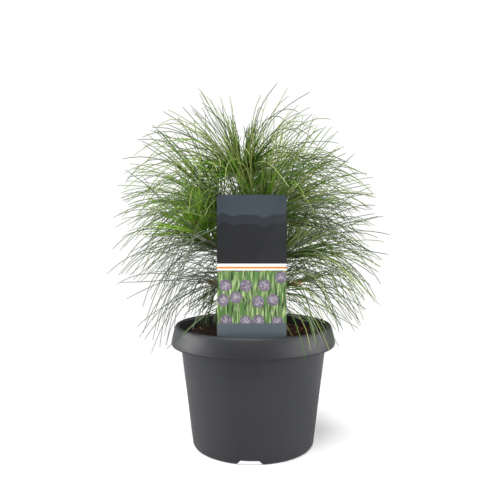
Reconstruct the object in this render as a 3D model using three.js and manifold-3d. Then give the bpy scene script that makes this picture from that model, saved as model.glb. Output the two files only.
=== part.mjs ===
// A young Bhutan pine in a plastic nursery pot, with a printed plant label standing in front of it.
// Units are millimetres, +Z is up, and the front faces -Y. The origin is at the middle of the pot's foot,
// on the surface that it stands on.
//
// The pine is a short leaning trunk with three whorls of boughs. Each bough ends in a shoot that is clothed
// in long drooping needles, and so does the trunk. The shoots and their needles are the masses of foliage:
// each mass is one solid and keeps to its own space. One solid needle stands for the bundle of five that
// grows there on the real plant.
import * as THREE from "three";
import { mergeVertices } from "three/addons/utils/BufferGeometryUtils.js";
import Module from "manifold-3d";

const wasm = await Module();
wasm.setup();
const { Manifold } = wasm;
const { degToRad, lerp, mapLinear } = THREE.MathUtils;

const GAP = 0.3; // clearance between pieces that touch

// Driving dimensions of the pot. The collar stands round the pot's mouth like a skirt, open below.
const POT = { height: 139.5, baseRadius: 70.2, taper: 0.1185, wall: 1.4, mouthRadius: 86.2, segments: 48 };
const FOOT = { lift: 6, width: 7, draft: 1, round: 3 }; // a ring that lifts the pot's floor off the ground
const COLLAR = {
  lowRadius: 95, topRadius: 91, height: 22.4, shelf: 2.6, corner: 1.2, shoulder: 3.2, stiffener: 8,
};
const NOTCHES = { count: 3, turn: -93.3, widthLow: 25, widthHigh: 18.5, height: 5, round: 0.8 };
const DRAINS = { count: 6, circle: 48, radius: 5 };

// Driving dimensions of the potting soil
const SOIL = { top: 127, relief: 2.2, rings: [18, 30, 44, 60, 76] };

// Driving dimensions of the label
const LABEL = { width: 72, centre: -2, front: -74, top: 285, foot: 129.5, thick: 0.8, corner: 2.5 };
const SPIKE = { neck: 26, tip: 5, length: 58, shoulder: 5 };

// Needles keep this far from the label, and from the pot and the soil.
const LABEL_ROOM = 2.5;
const POT_ROOM = 3;

// Driving dimensions of the wood
const CROWN_AXIS = { x: -6, y: -5 }; // the crown's own upright axis
const TRUNK = { foot: [4, -3], tip: [-7, -6], tipHeight: 274, footRadius: 5.6, tipRadius: 3.4, bend: 0.4 };
const FLARE = { radius: 4.2, fade: 7 }; // the trunk widens by this at the soil, and it fades over this height
const BOUGH = { radius: 2.9, share: 0.42 }; // share of a side shoot's length that is bare bough
const STEM_RADIUS = 2.3;
const BUD = { radius: 2.5, length: 10 };

// The masses of foliage keep apart at bent cones round the crown's axis. A height is first straightened by
// the needles' mean sag, and a cone then rises evenly from its start with the distance from the axis.
const MEAN_SAG = 0.0028; // drop for each squared millimetre of distance
const HIGH_CONE = { start: 282, slope: 0.85 };
const MIDDLE_CONE = { start: 240, slope: 0.4 };
const LOW_CONE = { start: 208, slope: 0.12 };

// Shoots. A whorl is spread evenly round the trunk from its first bearing, and its masses lie over one cone
// and under another. Bearings run anticlockwise seen from above, and 270 degrees is the front. A shoot leaves
// the trunk at its rise, in degrees, less the bend, and ends at its rise plus the bend.
const WHORLS = [
  {
    ring: "upper", over: MIDDLE_CONE, under: HIGH_CONE, count: 4, bearing: 195, height: 242, stagger: 5,
    rise: 38, bend: 8, reach: 46, needles: 35, needleLength: 116,
  },
  {
    ring: "middle", over: LOW_CONE, under: MIDDLE_CONE, count: 4, bearing: 216, height: 216, stagger: 5,
    rise: 18, bend: 12, reach: 56, needles: 36, needleLength: 106,
  },
  {
    ring: "lower", over: null, under: LOW_CONE, count: 4, bearing: 185, height: 190, stagger: 5,
    rise: 0, bend: 8, reach: 46, needles: 32, needleLength: 102,
  },
];
const LEADER = { ring: "top", over: HIGH_CONE, under: null, reach: 44, needles: 62, needleLength: 130 };

// Needles. The rings give a share of the length and the radius there.
const NEEDLE = { vary: 0.2, thick: 1.5, sides: 3, rings: [[0, 0], [0.07, 0.95], [0.5, 0.85], [1, 0]] };
const LEADER_SPREAD = { root: 86, tip: 38, vary: 8 }; // angle between needle and shoot, in degrees
const SIDE_SPREAD = { root: 80, tip: 8, vary: 8 };
const SAG = { least: 0.0014, most: 0.0044 }; // drop for each squared millimetre of level run
const CLOTHED = { from: 0.06, to: 0.97 }; // shares of a foliage stem between which needles grow
const LOWEST_NEEDLE = 108;
const CROWN_BALL = { radius: 173, height: 248 }; // no needle reaches out of this ball
const SPACE_MARGIN = { side: 1.3, height: 2.6 }; // a mass keeps this far inside its space
const TEST_STEP = 2.5; // distance between the points that are tested along a needle
const FREE_RUN = 9; // over this first stretch a needle may lie close to the next one
const TRIES = 14; // needles that are tried for each one that is wanted
const SEED = { first: 101, step: 41 };

// A small seeded generator, so that the plant grows the same way each time.
function seededRandom(seed) {
  let state = seed >>> 0;
  return () => {
    state = (Math.imul(1664525, state) + 1013904223) >>> 0;
    return state / 4294967296;
  };
}

// Two sequences that fill the unit square evenly. They place the needles along and round a shoot.
const alongShare = (i) => (0.5 + i * 0.7548776662466927) % 1;
const roundShare = (i) => (0.5 + i * 0.5698402909980532) % 1;

// The unit vector that points along a bearing and rises from the level, both in degrees.
function pointing(bearing, rise = 0) {
  const [turn, up] = [degToRad(bearing), degToRad(rise)];
  return new THREE.Vector3(Math.cos(turn) * Math.cos(up), Math.sin(turn) * Math.cos(up), Math.sin(up));
}

// A closed three.js geometry as a solid that can be joined and cut.
function solidOf(geometry) {
  const bare = geometry.clone();
  bare.deleteAttribute("normal");
  bare.deleteAttribute("uv");
  const merged = mergeVertices(bare, 1e-4);
  const faces = [];
  const index = merged.index.array;
  for (let i = 0; i < index.length; i += 3) {
    const [a, b, c] = [index[i], index[i + 1], index[i + 2]];
    if (a !== b && b !== c && c !== a) faces.push(a, b, c);
  }
  const mesh = new wasm.Mesh({
    numProp: 3,
    vertProperties: merged.attributes.position.array,
    triVerts: new Uint32Array(faces),
  });
  mesh.merge();
  return new Manifold(mesh);
}

// A solid back as a three.js geometry.
function geometryOf(solid) {
  const mesh = solid.getMesh();
  const positions = new Float32Array(mesh.numVert * 3);
  for (let i = 0; i < mesh.numVert; i++) {
    const from = i * mesh.numProp;
    positions.set(mesh.vertProperties.subarray(from, from + 3), i * 3);
  }
  const geometry = new THREE.BufferGeometry();
  geometry.setAttribute("position", new THREE.BufferAttribute(positions, 3));
  geometry.setIndex(new THREE.BufferAttribute(new Uint32Array(mesh.triVerts), 1));
  geometry.computeVertexNormals();
  return geometry;
}

// The largest single body of a joined solid: loose scraps are dropped and sealed hollows filled.
function largestBody(solid) {
  const bodies = solid.decompose();
  return bodies.reduce((best, body) => (body.volume() > best.volume() ? body : best));
}

// A limb that follows a curve. Each ring is a share of the curve's length and a radius. A straight limb keeps
// its rings parallel, so that its long faces are flat.
function taperedLimb(curve, rings, sides, isStraight = false) {
  const profile = rings.map(([share, radius]) => new THREE.Vector2(radius, share));
  const [first, last] = [profile[0], profile.at(-1)];
  if (first.x > 0) profile.unshift(new THREE.Vector2(0, first.y));
  if (last.x > 0) profile.push(new THREE.Vector2(0, last.y));
  const geometry = new THREE.LatheGeometry(profile, sides);
  const position = geometry.attributes.position;
  const chord = curve.getPoint(1).sub(curve.getPoint(0)).normalize();
  const level = new THREE.Vector3(-chord.y, chord.x, 0);
  if (level.length() < 1e-3) level.set(0, 1, 0);
  level.normalize();
  for (let i = 0; i < position.count; i++) {
    const share = position.getY(i);
    const along = isStraight ? chord : curve.getTangent(share);
    const across = level.clone().addScaledVector(along, -level.dot(along)).normalize();
    const upward = across.clone().cross(along);
    const spot = curve.getPoint(share).addScaledVector(upward, position.getZ(i));
    spot.addScaledVector(across, position.getX(i));
    position.setXYZ(i, spot.x, spot.y, spot.z);
  }
  return solidOf(geometry);
}

// Rings at even steps along a limb, with the radius worked out at each.
function evenRings(radiusAt, steps) {
  return Array.from({ length: steps + 1 }, (_, i) => [i / steps, radiusAt(i / steps)]);
}

// The pot's outer body radius at a height.
const bodyRadius = (height) => POT.baseRadius + POT.taper * height;

// The pot's inside radius at a height, from its floor up to the inside edge below its mouth.
const INSIDE = { floor: FOOT.lift + POT.wall, edge: POT.height - COLLAR.shelf - COLLAR.stiffener };
const insideFoot = bodyRadius(INSIDE.floor) - POT.wall - 2;
const insideEdge = bodyRadius(INSIDE.edge) - POT.wall;
const insideRadius = (height) => mapLinear(height, INSIDE.floor, INSIDE.edge, insideFoot, insideEdge);

// A place on the round under the pot's outer edge, at an angle from straight down.
function footRound(degrees) {
  const turn = degToRad(degrees);
  return [POT.baseRadius - FOOT.round * (1 - Math.sin(turn)), FOOT.round * (1 - Math.cos(turn))];
}

// The pot's profile as pairs of radius and height. It runs from the axis out under the floor, round the foot,
// up the body, round the collar and back down the inside.
function potProfile() {
  const collarLow = POT.height - COLLAR.height;
  const shelf = POT.height - COLLAR.shelf;
  return [
    [0, FOOT.lift],
    [POT.baseRadius - FOOT.width, FOOT.lift],
    [POT.baseRadius - FOOT.width + FOOT.draft, 0],
    footRound(0),
    footRound(45),
    [bodyRadius(FOOT.round), FOOT.round],
    [bodyRadius(shelf - COLLAR.shoulder), shelf - COLLAR.shoulder],
    [bodyRadius(shelf) + COLLAR.corner, shelf],
    [COLLAR.topRadius - POT.wall, shelf],
    [COLLAR.lowRadius - POT.wall, collarLow],
    [COLLAR.lowRadius - COLLAR.corner / 4, collarLow],
    [COLLAR.lowRadius, collarLow + COLLAR.corner],
    [COLLAR.topRadius, POT.height - COLLAR.shoulder],
    [COLLAR.topRadius - COLLAR.corner / 2, POT.height - COLLAR.corner / 2],
    [COLLAR.topRadius - 2 * COLLAR.corner, POT.height],
    [POT.mouthRadius + COLLAR.corner, POT.height],
    [POT.mouthRadius, POT.height - COLLAR.corner],
    [insideEdge, INSIDE.edge],
    [insideFoot, INSIDE.floor],
    [0, INSIDE.floor],
  ];
}

// A drainage notch's cutter: a low arch that is pushed through the foot ring from outside.
function notchCutter(turn) {
  const [low, high] = [NOTCHES.widthLow / 2, NOTCHES.widthHigh / 2];
  const arch = [
    [-low, -1],
    [low, -1],
    [low - NOTCHES.round, NOTCHES.round],
    [high, NOTCHES.height],
    [-high, NOTCHES.height],
    [-low + NOTCHES.round, NOTCHES.round],
  ];
  const shape = new THREE.Shape(arch.map(([across, up]) => new THREE.Vector2(across, up)));
  const depth = 2 * FOOT.width + 2 * FOOT.round;
  const cutter = new THREE.ExtrudeGeometry(shape, { depth, bevelEnabled: false });
  cutter.rotateX(Math.PI / 2).translate(0, POT.baseRadius + FOOT.round, 0);
  return solidOf(cutter.rotateZ(degToRad(turn - 90)));
}

function drainCutter(turn) {
  const drill = new THREE.CylinderGeometry(DRAINS.radius, DRAINS.radius, 2 * FOOT.lift, 12);
  drill.rotateX(Math.PI / 2).translate(DRAINS.circle, 0, FOOT.lift);
  return solidOf(drill.rotateZ(degToRad(turn)));
}

// The bearings of a number of features that are spread evenly round the pot.
const roundPot = (count) => Array.from({ length: count }, (_, i) => NOTCHES.turn + (360 / count) * i);

function makePot() {
  const points = potProfile().map(([radius, height]) => new THREE.Vector2(radius, height));
  const shell = solidOf(new THREE.LatheGeometry(points, POT.segments).rotateX(Math.PI / 2));
  const cuts = [...roundPot(NOTCHES.count).map(notchCutter), ...roundPot(DRAINS.count).map(drainCutter)];
  return shell.subtract(Manifold.union(cuts));
}

// The soil is a plug that fills the pot. Its top is gently uneven, with a flat patch under the trunk and a
// slot for the label's spike.
function makeSoil(spikeRoom) {
  const floor = INSIDE.floor + GAP;
  const edge = SOIL.top - 1;
  const profile = [
    [0, floor],
    [insideRadius(floor) - GAP, floor],
    [insideRadius(edge) - GAP, edge],
    ...SOIL.rings.toReversed().map((radius) => [radius, SOIL.top]),
    [0, SOIL.top],
  ];
  const points = profile.map(([radius, height]) => new THREE.Vector2(radius, height));
  const geometry = new THREE.LatheGeometry(points, POT.segments).rotateX(Math.PI / 2);
  const position = geometry.attributes.position;
  for (let i = 0; i < position.count; i++) {
    const [x, y, z] = [position.getX(i), position.getY(i), position.getZ(i)];
    if (z <= edge || Math.hypot(x, y) < SOIL.rings[0] + 1) continue;
    const wave = Math.sin(0.21 * x + 1) * Math.cos(0.17 * y) + Math.sin(0.09 * x - 0.13 * y + 2);
    position.setZ(i, z + SOIL.relief * (0.5 * wave - 0.4));
  }
  return solidOf(geometry).subtract(spikeRoom);
}

// The label: a tall plate with round top corners, whose foot narrows to a spike. It can be made larger all
// round, to cut the room that it needs.
function labelSolid(grow) {
  const half = LABEL.width / 2 + grow;
  const top = LABEL.top + grow;
  const low = LABEL.foot - grow;
  const spike = [
    [half, low + SPIKE.shoulder],
    [half - SPIKE.shoulder, low],
    [SPIKE.neck / 2 + grow, low],
    [SPIKE.tip / 2 + grow, low - SPIKE.length],
  ];
  const shape = new THREE.Shape();
  shape.absarc(half - LABEL.corner, top - LABEL.corner, LABEL.corner, 0, Math.PI / 2, false);
  shape.absarc(LABEL.corner - half, top - LABEL.corner, LABEL.corner, Math.PI / 2, Math.PI, false);
  for (const [across, up] of spike) shape.lineTo(-across, up);
  for (const [across, up] of spike.toReversed()) shape.lineTo(across, up);
  const depth = LABEL.thick + 2 * grow;
  const plate = new THREE.ExtrudeGeometry(shape, { depth, bevelEnabled: false, curveSegments: 4 });
  plate.rotateX(Math.PI / 2).translate(LABEL.centre, LABEL.front + LABEL.thick + grow, 0);
  return solidOf(plate);
}

// The trunk's line: upright where it leaves the soil, and leaning a little from there to its tip.
const trunkFoot = new THREE.Vector3(...TRUNK.foot, SOIL.top + GAP);
const trunkTip = new THREE.Vector3(...TRUNK.tip, TRUNK.tipHeight);
const trunkMiddle = trunkFoot.clone().setZ(lerp(trunkFoot.z, trunkTip.z, TRUNK.bend));
const trunkCurve = new THREE.QuadraticBezierCurve3(trunkFoot, trunkMiddle, trunkTip);

function trunkRadius(share) {
  const height = share * (trunkTip.z - trunkFoot.z);
  return lerp(TRUNK.footRadius, TRUNK.tipRadius, share) + FLARE.radius * Math.exp(-height / FLARE.fade);
}

function makeTrunk(grow) {
  return taperedLimb(trunkCurve, evenRings((share) => trunkRadius(share) + grow, 14), 12);
}

// A side shoot leaves the trunk and turns up a little towards its tip. The shoots of a whorl start at
// slightly different heights.
function sideShoot(whorl, i) {
  const bearing = whorl.bearing + (360 / whorl.count) * i;
  const height = whorl.height + whorl.stagger * Math.cos(2.4 * i + 0.6);
  const start = trunkCurve.getPoint((height - trunkFoot.z) / (trunkTip.z - trunkFoot.z));
  const middle = start.clone().addScaledVector(pointing(bearing, whorl.rise - whorl.bend), whorl.reach / 2);
  const tip = middle.clone().addScaledVector(pointing(bearing, whorl.rise + whorl.bend), whorl.reach / 2);
  return {
    ...whorl,
    name: `${whorl.ring}_${i + 1}`,
    curve: new THREE.QuadraticBezierCurve3(start, middle, tip),
    bareShare: BOUGH.share,
    bearing,
    halfWedge: 180 / whorl.count,
    spread: SIDE_SPREAD,
  };
}

// The leading shoot carries the trunk's line on above its tip.
function leadingShoot() {
  const tip = trunkTip.clone().addScaledVector(trunkCurve.getTangent(1), LEADER.reach);
  const curve = new THREE.QuadraticBezierCurve3(trunkTip, trunkTip.clone().lerp(tip, 0.5), tip);
  return { ...LEADER, name: LEADER.ring, curve, bareShare: 0, spread: LEADER_SPREAD };
}

// The stretch of a curve between two shares of it.
class Stretch extends THREE.Curve {
  constructor(curve, from, to) {
    super();
    Object.assign(this, { curve, from, to });
  }
  getPoint(t, target = new THREE.Vector3()) {
    return this.curve.getPoint(lerp(this.from, this.to, t), target);
  }
}

// A needle: straight at its root, with a sag that grows with the square of its level run.
class NeedleCurve extends THREE.Curve {
  constructor(root, direction, length, sag) {
    super();
    Object.assign(this, { root, direction, length, sag });
    this.level = Math.hypot(direction.x, direction.y);
  }
  getPoint(t, target = new THREE.Vector3()) {
    const run = this.length * t;
    target.copy(this.root).addScaledVector(this.direction, run);
    target.z -= this.sag * (this.level * run) ** 2;
    return target;
  }
}

const ballCentre = new THREE.Vector3(CROWN_AXIS.x, CROWN_AXIS.y, CROWN_BALL.height);

// How high a point lies above a bent cone.
function aboveCone(point, cone) {
  const out = Math.hypot(point.x - CROWN_AXIS.x, point.y - CROWN_AXIS.y);
  return point.z + MEAN_SAG * out * out - cone.start - cone.slope * out;
}

// Whether a point lies in the space of a shoot's own mass, by the margin at least.
function inSpace(shoot, point) {
  if (point.distanceTo(ballCentre) > CROWN_BALL.radius) return false;
  if (shoot.over && aboveCone(point, shoot.over) < SPACE_MARGIN.height) return false;
  if (shoot.under && aboveCone(point, shoot.under) > -SPACE_MARGIN.height) return false;
  if (!shoot.halfWedge) return true;
  return [-1, 1].every((side) => {
    const edge = pointing(shoot.bearing + side * shoot.halfWedge);
    const inward = edge.y * (point.x - CROWN_AXIS.x) - edge.x * (point.y - CROWN_AXIS.y);
    return side * inward > SPACE_MARGIN.side;
  });
}

// Whether a point is clear of the label, of the room in front of it, and of the pot and the soil.
function clearOfPot(point) {
  const { x, y, z } = point;
  const beside = Math.abs(x - LABEL.centre) > LABEL.width / 2 + LABEL_ROOM;
  const behind = y > LABEL.front + LABEL.thick + LABEL_ROOM;
  if (!beside && !behind && z < LABEL.top + LABEL_ROOM) return false;
  if (z < LOWEST_NEEDLE) return false;
  const radius = Math.hypot(x, y);
  if (z > POT.height + POT_ROOM || radius > COLLAR.lowRadius + POT_ROOM) return true;
  return radius < POT.mouthRadius - POT_ROOM && z > SOIL.top + POT_ROOM;
}

const nearest = new THREE.Vector3();

function distanceToLine(point, line) {
  return line.closestPointToPoint(point, true, nearest).distanceTo(point);
}

// The trunk and every shoot as short straight lines with a radius, for testing what a needle touches.
function limbLines(shoots) {
  const lines = [];
  const add = (curve, owner, radiusAt, steps) => {
    for (let i = 0; i < steps; i++) {
      const radius = radiusAt((i + 0.5) / steps);
      const piece = new THREE.Line3(curve.getPoint(i / steps), curve.getPoint((i + 1) / steps));
      lines.push({ piece, owner, radius });
    }
  };
  add(trunkCurve, "trunk", trunkRadius, 8);
  for (const shoot of shoots) {
    const bare = shoot.bareShare;
    if (bare > 0) add(new Stretch(shoot.curve, 0, bare), "bough", () => BOUGH.radius, 2);
    add(new Stretch(shoot.curve, bare, 1), shoot.name, () => STEM_RADIUS, 4);
  }
  return lines;
}

// A needle as it is built: straight pieces from ring to ring.
function needlePieces(curve) {
  const spots = NEEDLE.rings.map(([share]) => curve.getPoint(share));
  return spots.slice(1).map((spot, i) => new THREE.Line3(spots[i], spot));
}

// A needle fits if it stays in its space, touches no limb, label, pot or soil, and runs clear of the
// needles that its shoot has already.
function needleFits(shoot, curve, lines, kept) {
  const pieces = needlePieces(curve);
  const others = lines.filter((line) => line.owner !== shoot.name);
  const point = new THREE.Vector3();
  for (let run = TEST_STEP; run < curve.length + TEST_STEP; run += TEST_STEP) {
    const share = Math.min(run / curve.length, 1);
    const step = NEEDLE.rings.findIndex(([at]) => at >= share) - 1;
    const [from, to] = [NEEDLE.rings[step][0], NEEDLE.rings[step + 1][0]];
    pieces[step].at((share - from) / (to - from), point);
    if (!inSpace(shoot, point) || !clearOfPot(point)) return false;
    for (const line of others) {
      if (distanceToLine(point, line.piece) < line.radius + NEEDLE.thick) return false;
    }
    if (run < FREE_RUN) continue;
    for (const needle of kept) {
      for (const piece of needle) {
        if (distanceToLine(point, piece) < NEEDLE.thick) return false;
      }
    }
  }
  return true;
}

// The needle that is tried at a place along and round a shoot's foliage stem.
function triedNeedle(shoot, stem, i, random) {
  const share = lerp(CLOTHED.from, CLOTHED.to, alongShare(i));
  const turn = roundShare(i) * 2 * Math.PI;
  const vary = () => 2 * random() - 1;
  const open = degToRad(lerp(shoot.spread.root, shoot.spread.tip, share) + shoot.spread.vary * vary());
  const along = stem.getTangent(share);
  const side = new THREE.Vector3(-along.y, along.x, 0).normalize();
  const lift = side.clone().cross(along);
  const direction = along.multiplyScalar(Math.cos(open));
  direction.addScaledVector(side, Math.sin(open) * Math.cos(turn));
  direction.addScaledVector(lift, Math.sin(open) * Math.sin(turn));
  const length = shoot.needleLength * (1 + NEEDLE.vary * vary());
  return new NeedleCurve(stem.getPoint(share), direction, length, lerp(SAG.least, SAG.most, random()));
}

// The needles of one shoot, placed along and round it by the two even sequences.
function shootNeedles(shoot, lines, seed) {
  const random = seededRandom(seed);
  const stem = new Stretch(shoot.curve, shoot.bareShare, 1);
  const kept = [];
  const keptPieces = [];
  for (let i = 0; kept.length < shoot.needles && i < shoot.needles * TRIES; i++) {
    const needle = triedNeedle(shoot, stem, i, random);
    if (!needleFits(shoot, needle, lines, keptPieces)) continue;
    kept.push(needle);
    keptPieces.push(needlePieces(needle));
  }
  return kept;
}

// A solid needle tapers to a point at both ends. Its root lies on the stem's own line.
function needleSolid(curve) {
  return taperedLimb(curve, NEEDLE.rings, NEEDLE.sides, true);
}

// The foliage stem's rings: a slow taper, and then the bud that ends it.
function stemRings(length) {
  const foot = 1 - BUD.length / length;
  return [
    [0, STEM_RADIUS],
    [foot / 2, STEM_RADIUS * 0.88],
    [foot, STEM_RADIUS * 0.76],
    [lerp(foot, 1, 0.35), BUD.radius],
    [lerp(foot, 1, 0.7), BUD.radius * 0.7],
    [1, BUD.radius * 0.2],
  ];
}

// A mass of foliage: its stem with the end bud, and the needles joined on with their roots sunk in.
function makeMass(shoot, lines, seed) {
  const bare = shoot.bareShare + GAP / shoot.reach;
  const stem = taperedLimb(new Stretch(shoot.curve, bare, 1), stemRings(shoot.reach * (1 - bare)), 6);
  const needles = shootNeedles(shoot, lines, seed).map(needleSolid);
  return largestBody(Manifold.union([stem, ...needles]));
}

// A bough runs from the trunk's bark to the foot of its mass.
function makeBough(shoot, trunkRoom) {
  const rings = evenRings((share) => lerp(BOUGH.radius, STEM_RADIUS, share), 3);
  const limb = taperedLimb(new Stretch(shoot.curve, 0, shoot.bareShare), rings, 8);
  return largestBody(limb.subtract(trunkRoom));
}

const material = (name, color, roughness) =>
  new THREE.MeshStandardMaterial({ name, color, roughness, metalness: 0 });
const POT_PLASTIC = material("moulded grey polypropylene", 0x4c4e51, 0.5);
const POTTING_SOIL = material("bark and peat potting soil", 0x33231a, 0.95);
const LABEL_CARD = material("gloss printed card", 0x35373a, 0.35);
const BARK = material("young pine bark", 0x7a5a3c, 0.85);
const NEEDLES = material("pine needles", 0x55762f, 0.55);

const pine = new THREE.Group();

function addPiece(name, solid, finish) {
  const mesh = new THREE.Mesh(geometryOf(solid), finish);
  mesh.name = name;
  pine.add(mesh);
}

addPiece("pot", makePot(), POT_PLASTIC);
addPiece("soil", makeSoil(labelSolid(GAP)), POTTING_SOIL);
addPiece("label", labelSolid(0), LABEL_CARD);
addPiece("trunk", makeTrunk(0), BARK);

const sideShoots = WHORLS.flatMap((whorl) =>
  Array.from({ length: whorl.count }, (_, i) => sideShoot(whorl, i)),
);
const shoots = [leadingShoot(), ...sideShoots];
const lines = limbLines(shoots);
const trunkRoom = makeTrunk(GAP);
for (const shoot of sideShoots) addPiece(`bough_${shoot.name}`, makeBough(shoot, trunkRoom), BARK);
shoots.forEach((shoot, i) => {
  addPiece(`needles_${shoot.name}`, makeMass(shoot, lines, SEED.first + SEED.step * i), NEEDLES);
});

export default pine;
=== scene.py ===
# %% [markdown]
# # A young Bhutan pine in a nursery pot
#
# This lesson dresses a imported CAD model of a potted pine. The model is a fixed frame: it gives the true sizes
# and places, and every piece made here goes where it says. The pot, the soil, the label, the wood and the
# needles are each made again in finer form, and each gets a finish that follows the real material.

import math

import bpy
import numpy as np
from mathutils import Euler, Matrix, Vector


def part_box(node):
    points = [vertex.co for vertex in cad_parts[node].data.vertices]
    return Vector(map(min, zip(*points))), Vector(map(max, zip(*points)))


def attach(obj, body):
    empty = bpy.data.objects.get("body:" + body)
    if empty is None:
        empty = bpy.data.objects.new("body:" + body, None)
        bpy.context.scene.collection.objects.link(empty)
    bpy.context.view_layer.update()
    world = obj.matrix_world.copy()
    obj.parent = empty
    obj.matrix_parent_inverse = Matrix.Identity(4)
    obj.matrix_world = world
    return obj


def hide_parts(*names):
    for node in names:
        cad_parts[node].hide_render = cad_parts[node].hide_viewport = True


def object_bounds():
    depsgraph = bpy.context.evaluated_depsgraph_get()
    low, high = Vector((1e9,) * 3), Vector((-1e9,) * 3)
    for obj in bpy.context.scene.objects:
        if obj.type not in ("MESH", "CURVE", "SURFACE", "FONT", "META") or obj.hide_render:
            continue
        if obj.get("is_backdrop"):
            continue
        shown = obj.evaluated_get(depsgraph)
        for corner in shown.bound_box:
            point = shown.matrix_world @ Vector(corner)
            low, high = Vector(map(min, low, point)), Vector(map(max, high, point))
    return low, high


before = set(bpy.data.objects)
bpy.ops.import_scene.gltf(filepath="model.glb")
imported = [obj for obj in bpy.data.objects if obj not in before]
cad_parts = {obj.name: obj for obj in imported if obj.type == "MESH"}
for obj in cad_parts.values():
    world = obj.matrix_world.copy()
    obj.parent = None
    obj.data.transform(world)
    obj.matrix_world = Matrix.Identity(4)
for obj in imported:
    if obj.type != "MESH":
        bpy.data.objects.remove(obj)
cad_box = [list(corner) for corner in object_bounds()]
MM = 0.001  # one millimetre in Blender's metres
print("nodes in the frame:", len(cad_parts))

# %% [markdown]
# ## Small helpers
#
# Paint colours are easiest to think of as sRGB hex codes, but shaders work with linear light, so one function
# turns them. One more adds a shader node with its settings and links, and gives back the output that the next
# node takes, which is mostly the first. A kind of node goes by Blender's own name without its "ShaderNode".
#
# A Mix node has sockets for numbers, vectors and colours side by side, many of the same name, so its sockets
# are given by number: 0 is the share, 6 and 7 are the two colours, and output 2 is the mixed colour.

# %% Colours and nodes
def linear(code):
    """An sRGB hex colour as the linear red, green, blue and alpha that shaders use."""
    parts = [int(code[i : i + 2], 16) / 255 for i in (1, 3, 5)]
    return [c / 12.92 if c <= 0.04045 else ((c + 0.055) / 1.055) ** 2.4 for c in parts] + [1.0]


COLOURS = {"data_type": "RGBA"}  # makes a Mix node mix colours


def add_node(tree, kind, inputs=(), settings=(), output=0):
    """Adds a shader node and returns one of its outputs. An input is a number, a hex colour or an output."""
    made = tree.nodes.new(f"ShaderNode{kind}")
    for name, value in dict(settings).items():
        setattr(made, name, value)
    for name, value in dict(inputs).items():
        if isinstance(value, bpy.types.NodeSocket):
            tree.links.new(value, made.inputs[name])
        else:
            made.inputs[name].default_value = linear(value) if isinstance(value, str) else value
    return made.outputs[output]


def new_finish(name, colour, roughness, ior):
    """A material with its shader's constants set. Returns the material, its tree and its shader."""
    finish = bpy.data.materials.new(name)
    finish.use_nodes = True
    shader = finish.node_tree.nodes["Principled BSDF"]
    shader.inputs["Base Color"].default_value = linear(colour)
    shader.inputs["Roughness"].default_value = roughness
    shader.inputs["IOR"].default_value = ior
    return finish, finish.node_tree, shader


print("white in linear light:", linear("#ffffff"))

# %% [markdown]
# An operator acts on what is active and selected. So the next functions start a modelling step with nothing
# selected, or with one piece, and select by place, which is how a script takes the place of the mouse.

# %% Modelling steps
def start_fresh():
    """Leaves edit mode and deselects everything, so that the next operator acts on its own piece only."""
    if bpy.context.mode != "OBJECT":
        bpy.ops.object.mode_set(mode="OBJECT")
    bpy.ops.object.select_all(action="DESELECT")


def take(piece):
    """Makes a piece the active one and the only one selected."""
    start_fresh()
    bpy.context.view_layer.objects.active = piece
    piece.select_set(True)


def edit(piece, kind="VERT"):
    """Opens a piece in edit mode with nothing selected."""
    take(piece)
    bpy.ops.object.mode_set(mode="EDIT")
    bpy.ops.mesh.select_mode(type=kind)
    bpy.ops.mesh.select_all(action="DESELECT")


def pick(piece, kind, test):
    """Selects the vertices, edges or faces of the piece in edit mode whose places pass a test."""
    bpy.ops.mesh.select_mode(type=kind)
    bpy.ops.mesh.select_all(action="DESELECT")
    bpy.ops.object.mode_set(mode="OBJECT")
    mesh = piece.data
    for part in {"VERT": mesh.vertices, "EDGE": mesh.edges, "FACE": mesh.polygons}[kind]:
        part.select = test([part.co] if kind == "VERT" else [mesh.vertices[i].co for i in part.vertices])
    bpy.ops.object.mode_set(mode="EDIT")


def apply_modifier(piece, kind, **settings):
    """Adds a modifier with its settings and applies it."""
    take(piece)
    modifier = piece.modifiers.new(kind.title(), kind)
    for name, value in settings.items():
        setattr(modifier, name, value)
    bpy.ops.object.modifier_apply(modifier=modifier.name)


def face_outwards(piece):
    """Merges doubled points and turns every face outwards."""
    edit(piece)
    bpy.ops.mesh.select_all(action="SELECT")
    bpy.ops.mesh.remove_doubles(threshold=0.01 * MM)
    bpy.ops.mesh.normals_make_consistent(inside=False)
    start_fresh()


def join(name, pieces):
    """Joins pieces into one object with its origin at the frame's own."""
    start_fresh()
    for piece in pieces:
        piece.select_set(True)
    bpy.context.view_layer.objects.active = pieces[0]
    if len(pieces) > 1:
        bpy.ops.object.join()
    pieces[0].name = pieces[0].data.name = name
    return pieces[0]


def finish_piece(piece, finishes, replaced=(), angle=None):
    """Gives a finished piece its materials, its shading and its body, and hides the CAD nodes that it stands
    for.
    """
    take(piece)
    for finish in finishes:
        piece.data.materials.append(finish)
    if angle is None:
        bpy.ops.object.shade_smooth()
    else:
        bpy.ops.object.shade_smooth_by_angle(angle=math.radians(angle))
    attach(piece, "root")
    if replaced:
        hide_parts(*replaced)
    start_fresh()
    print(f"{piece.name}: {len(piece.data.polygons)} faces")


# %% [markdown]
# ## Camera, floor and light
#
# The photograph was taken from a little above the pot's rim, about 65 cm in front of the plant, and its
# background was cut out to pure white. A weak surround gives light from everywhere. Five suns with wide
# angles act as softboxes: one overhead on the left, one in front, and three low ones that draw the pale bands
# down the pot's sides. The floor is a plain pale sheet. The camera sees it as after a cut-out, white but for
# the faint shadow beside the pot. The plant sees it darker, so that it throws less light up from below. The
# Standard view keeps white white.

# %% Camera
CAMERA = {"place": (-4.34, -651.6, 251.3), "down": 2.29, "lens": 40.32}

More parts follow.
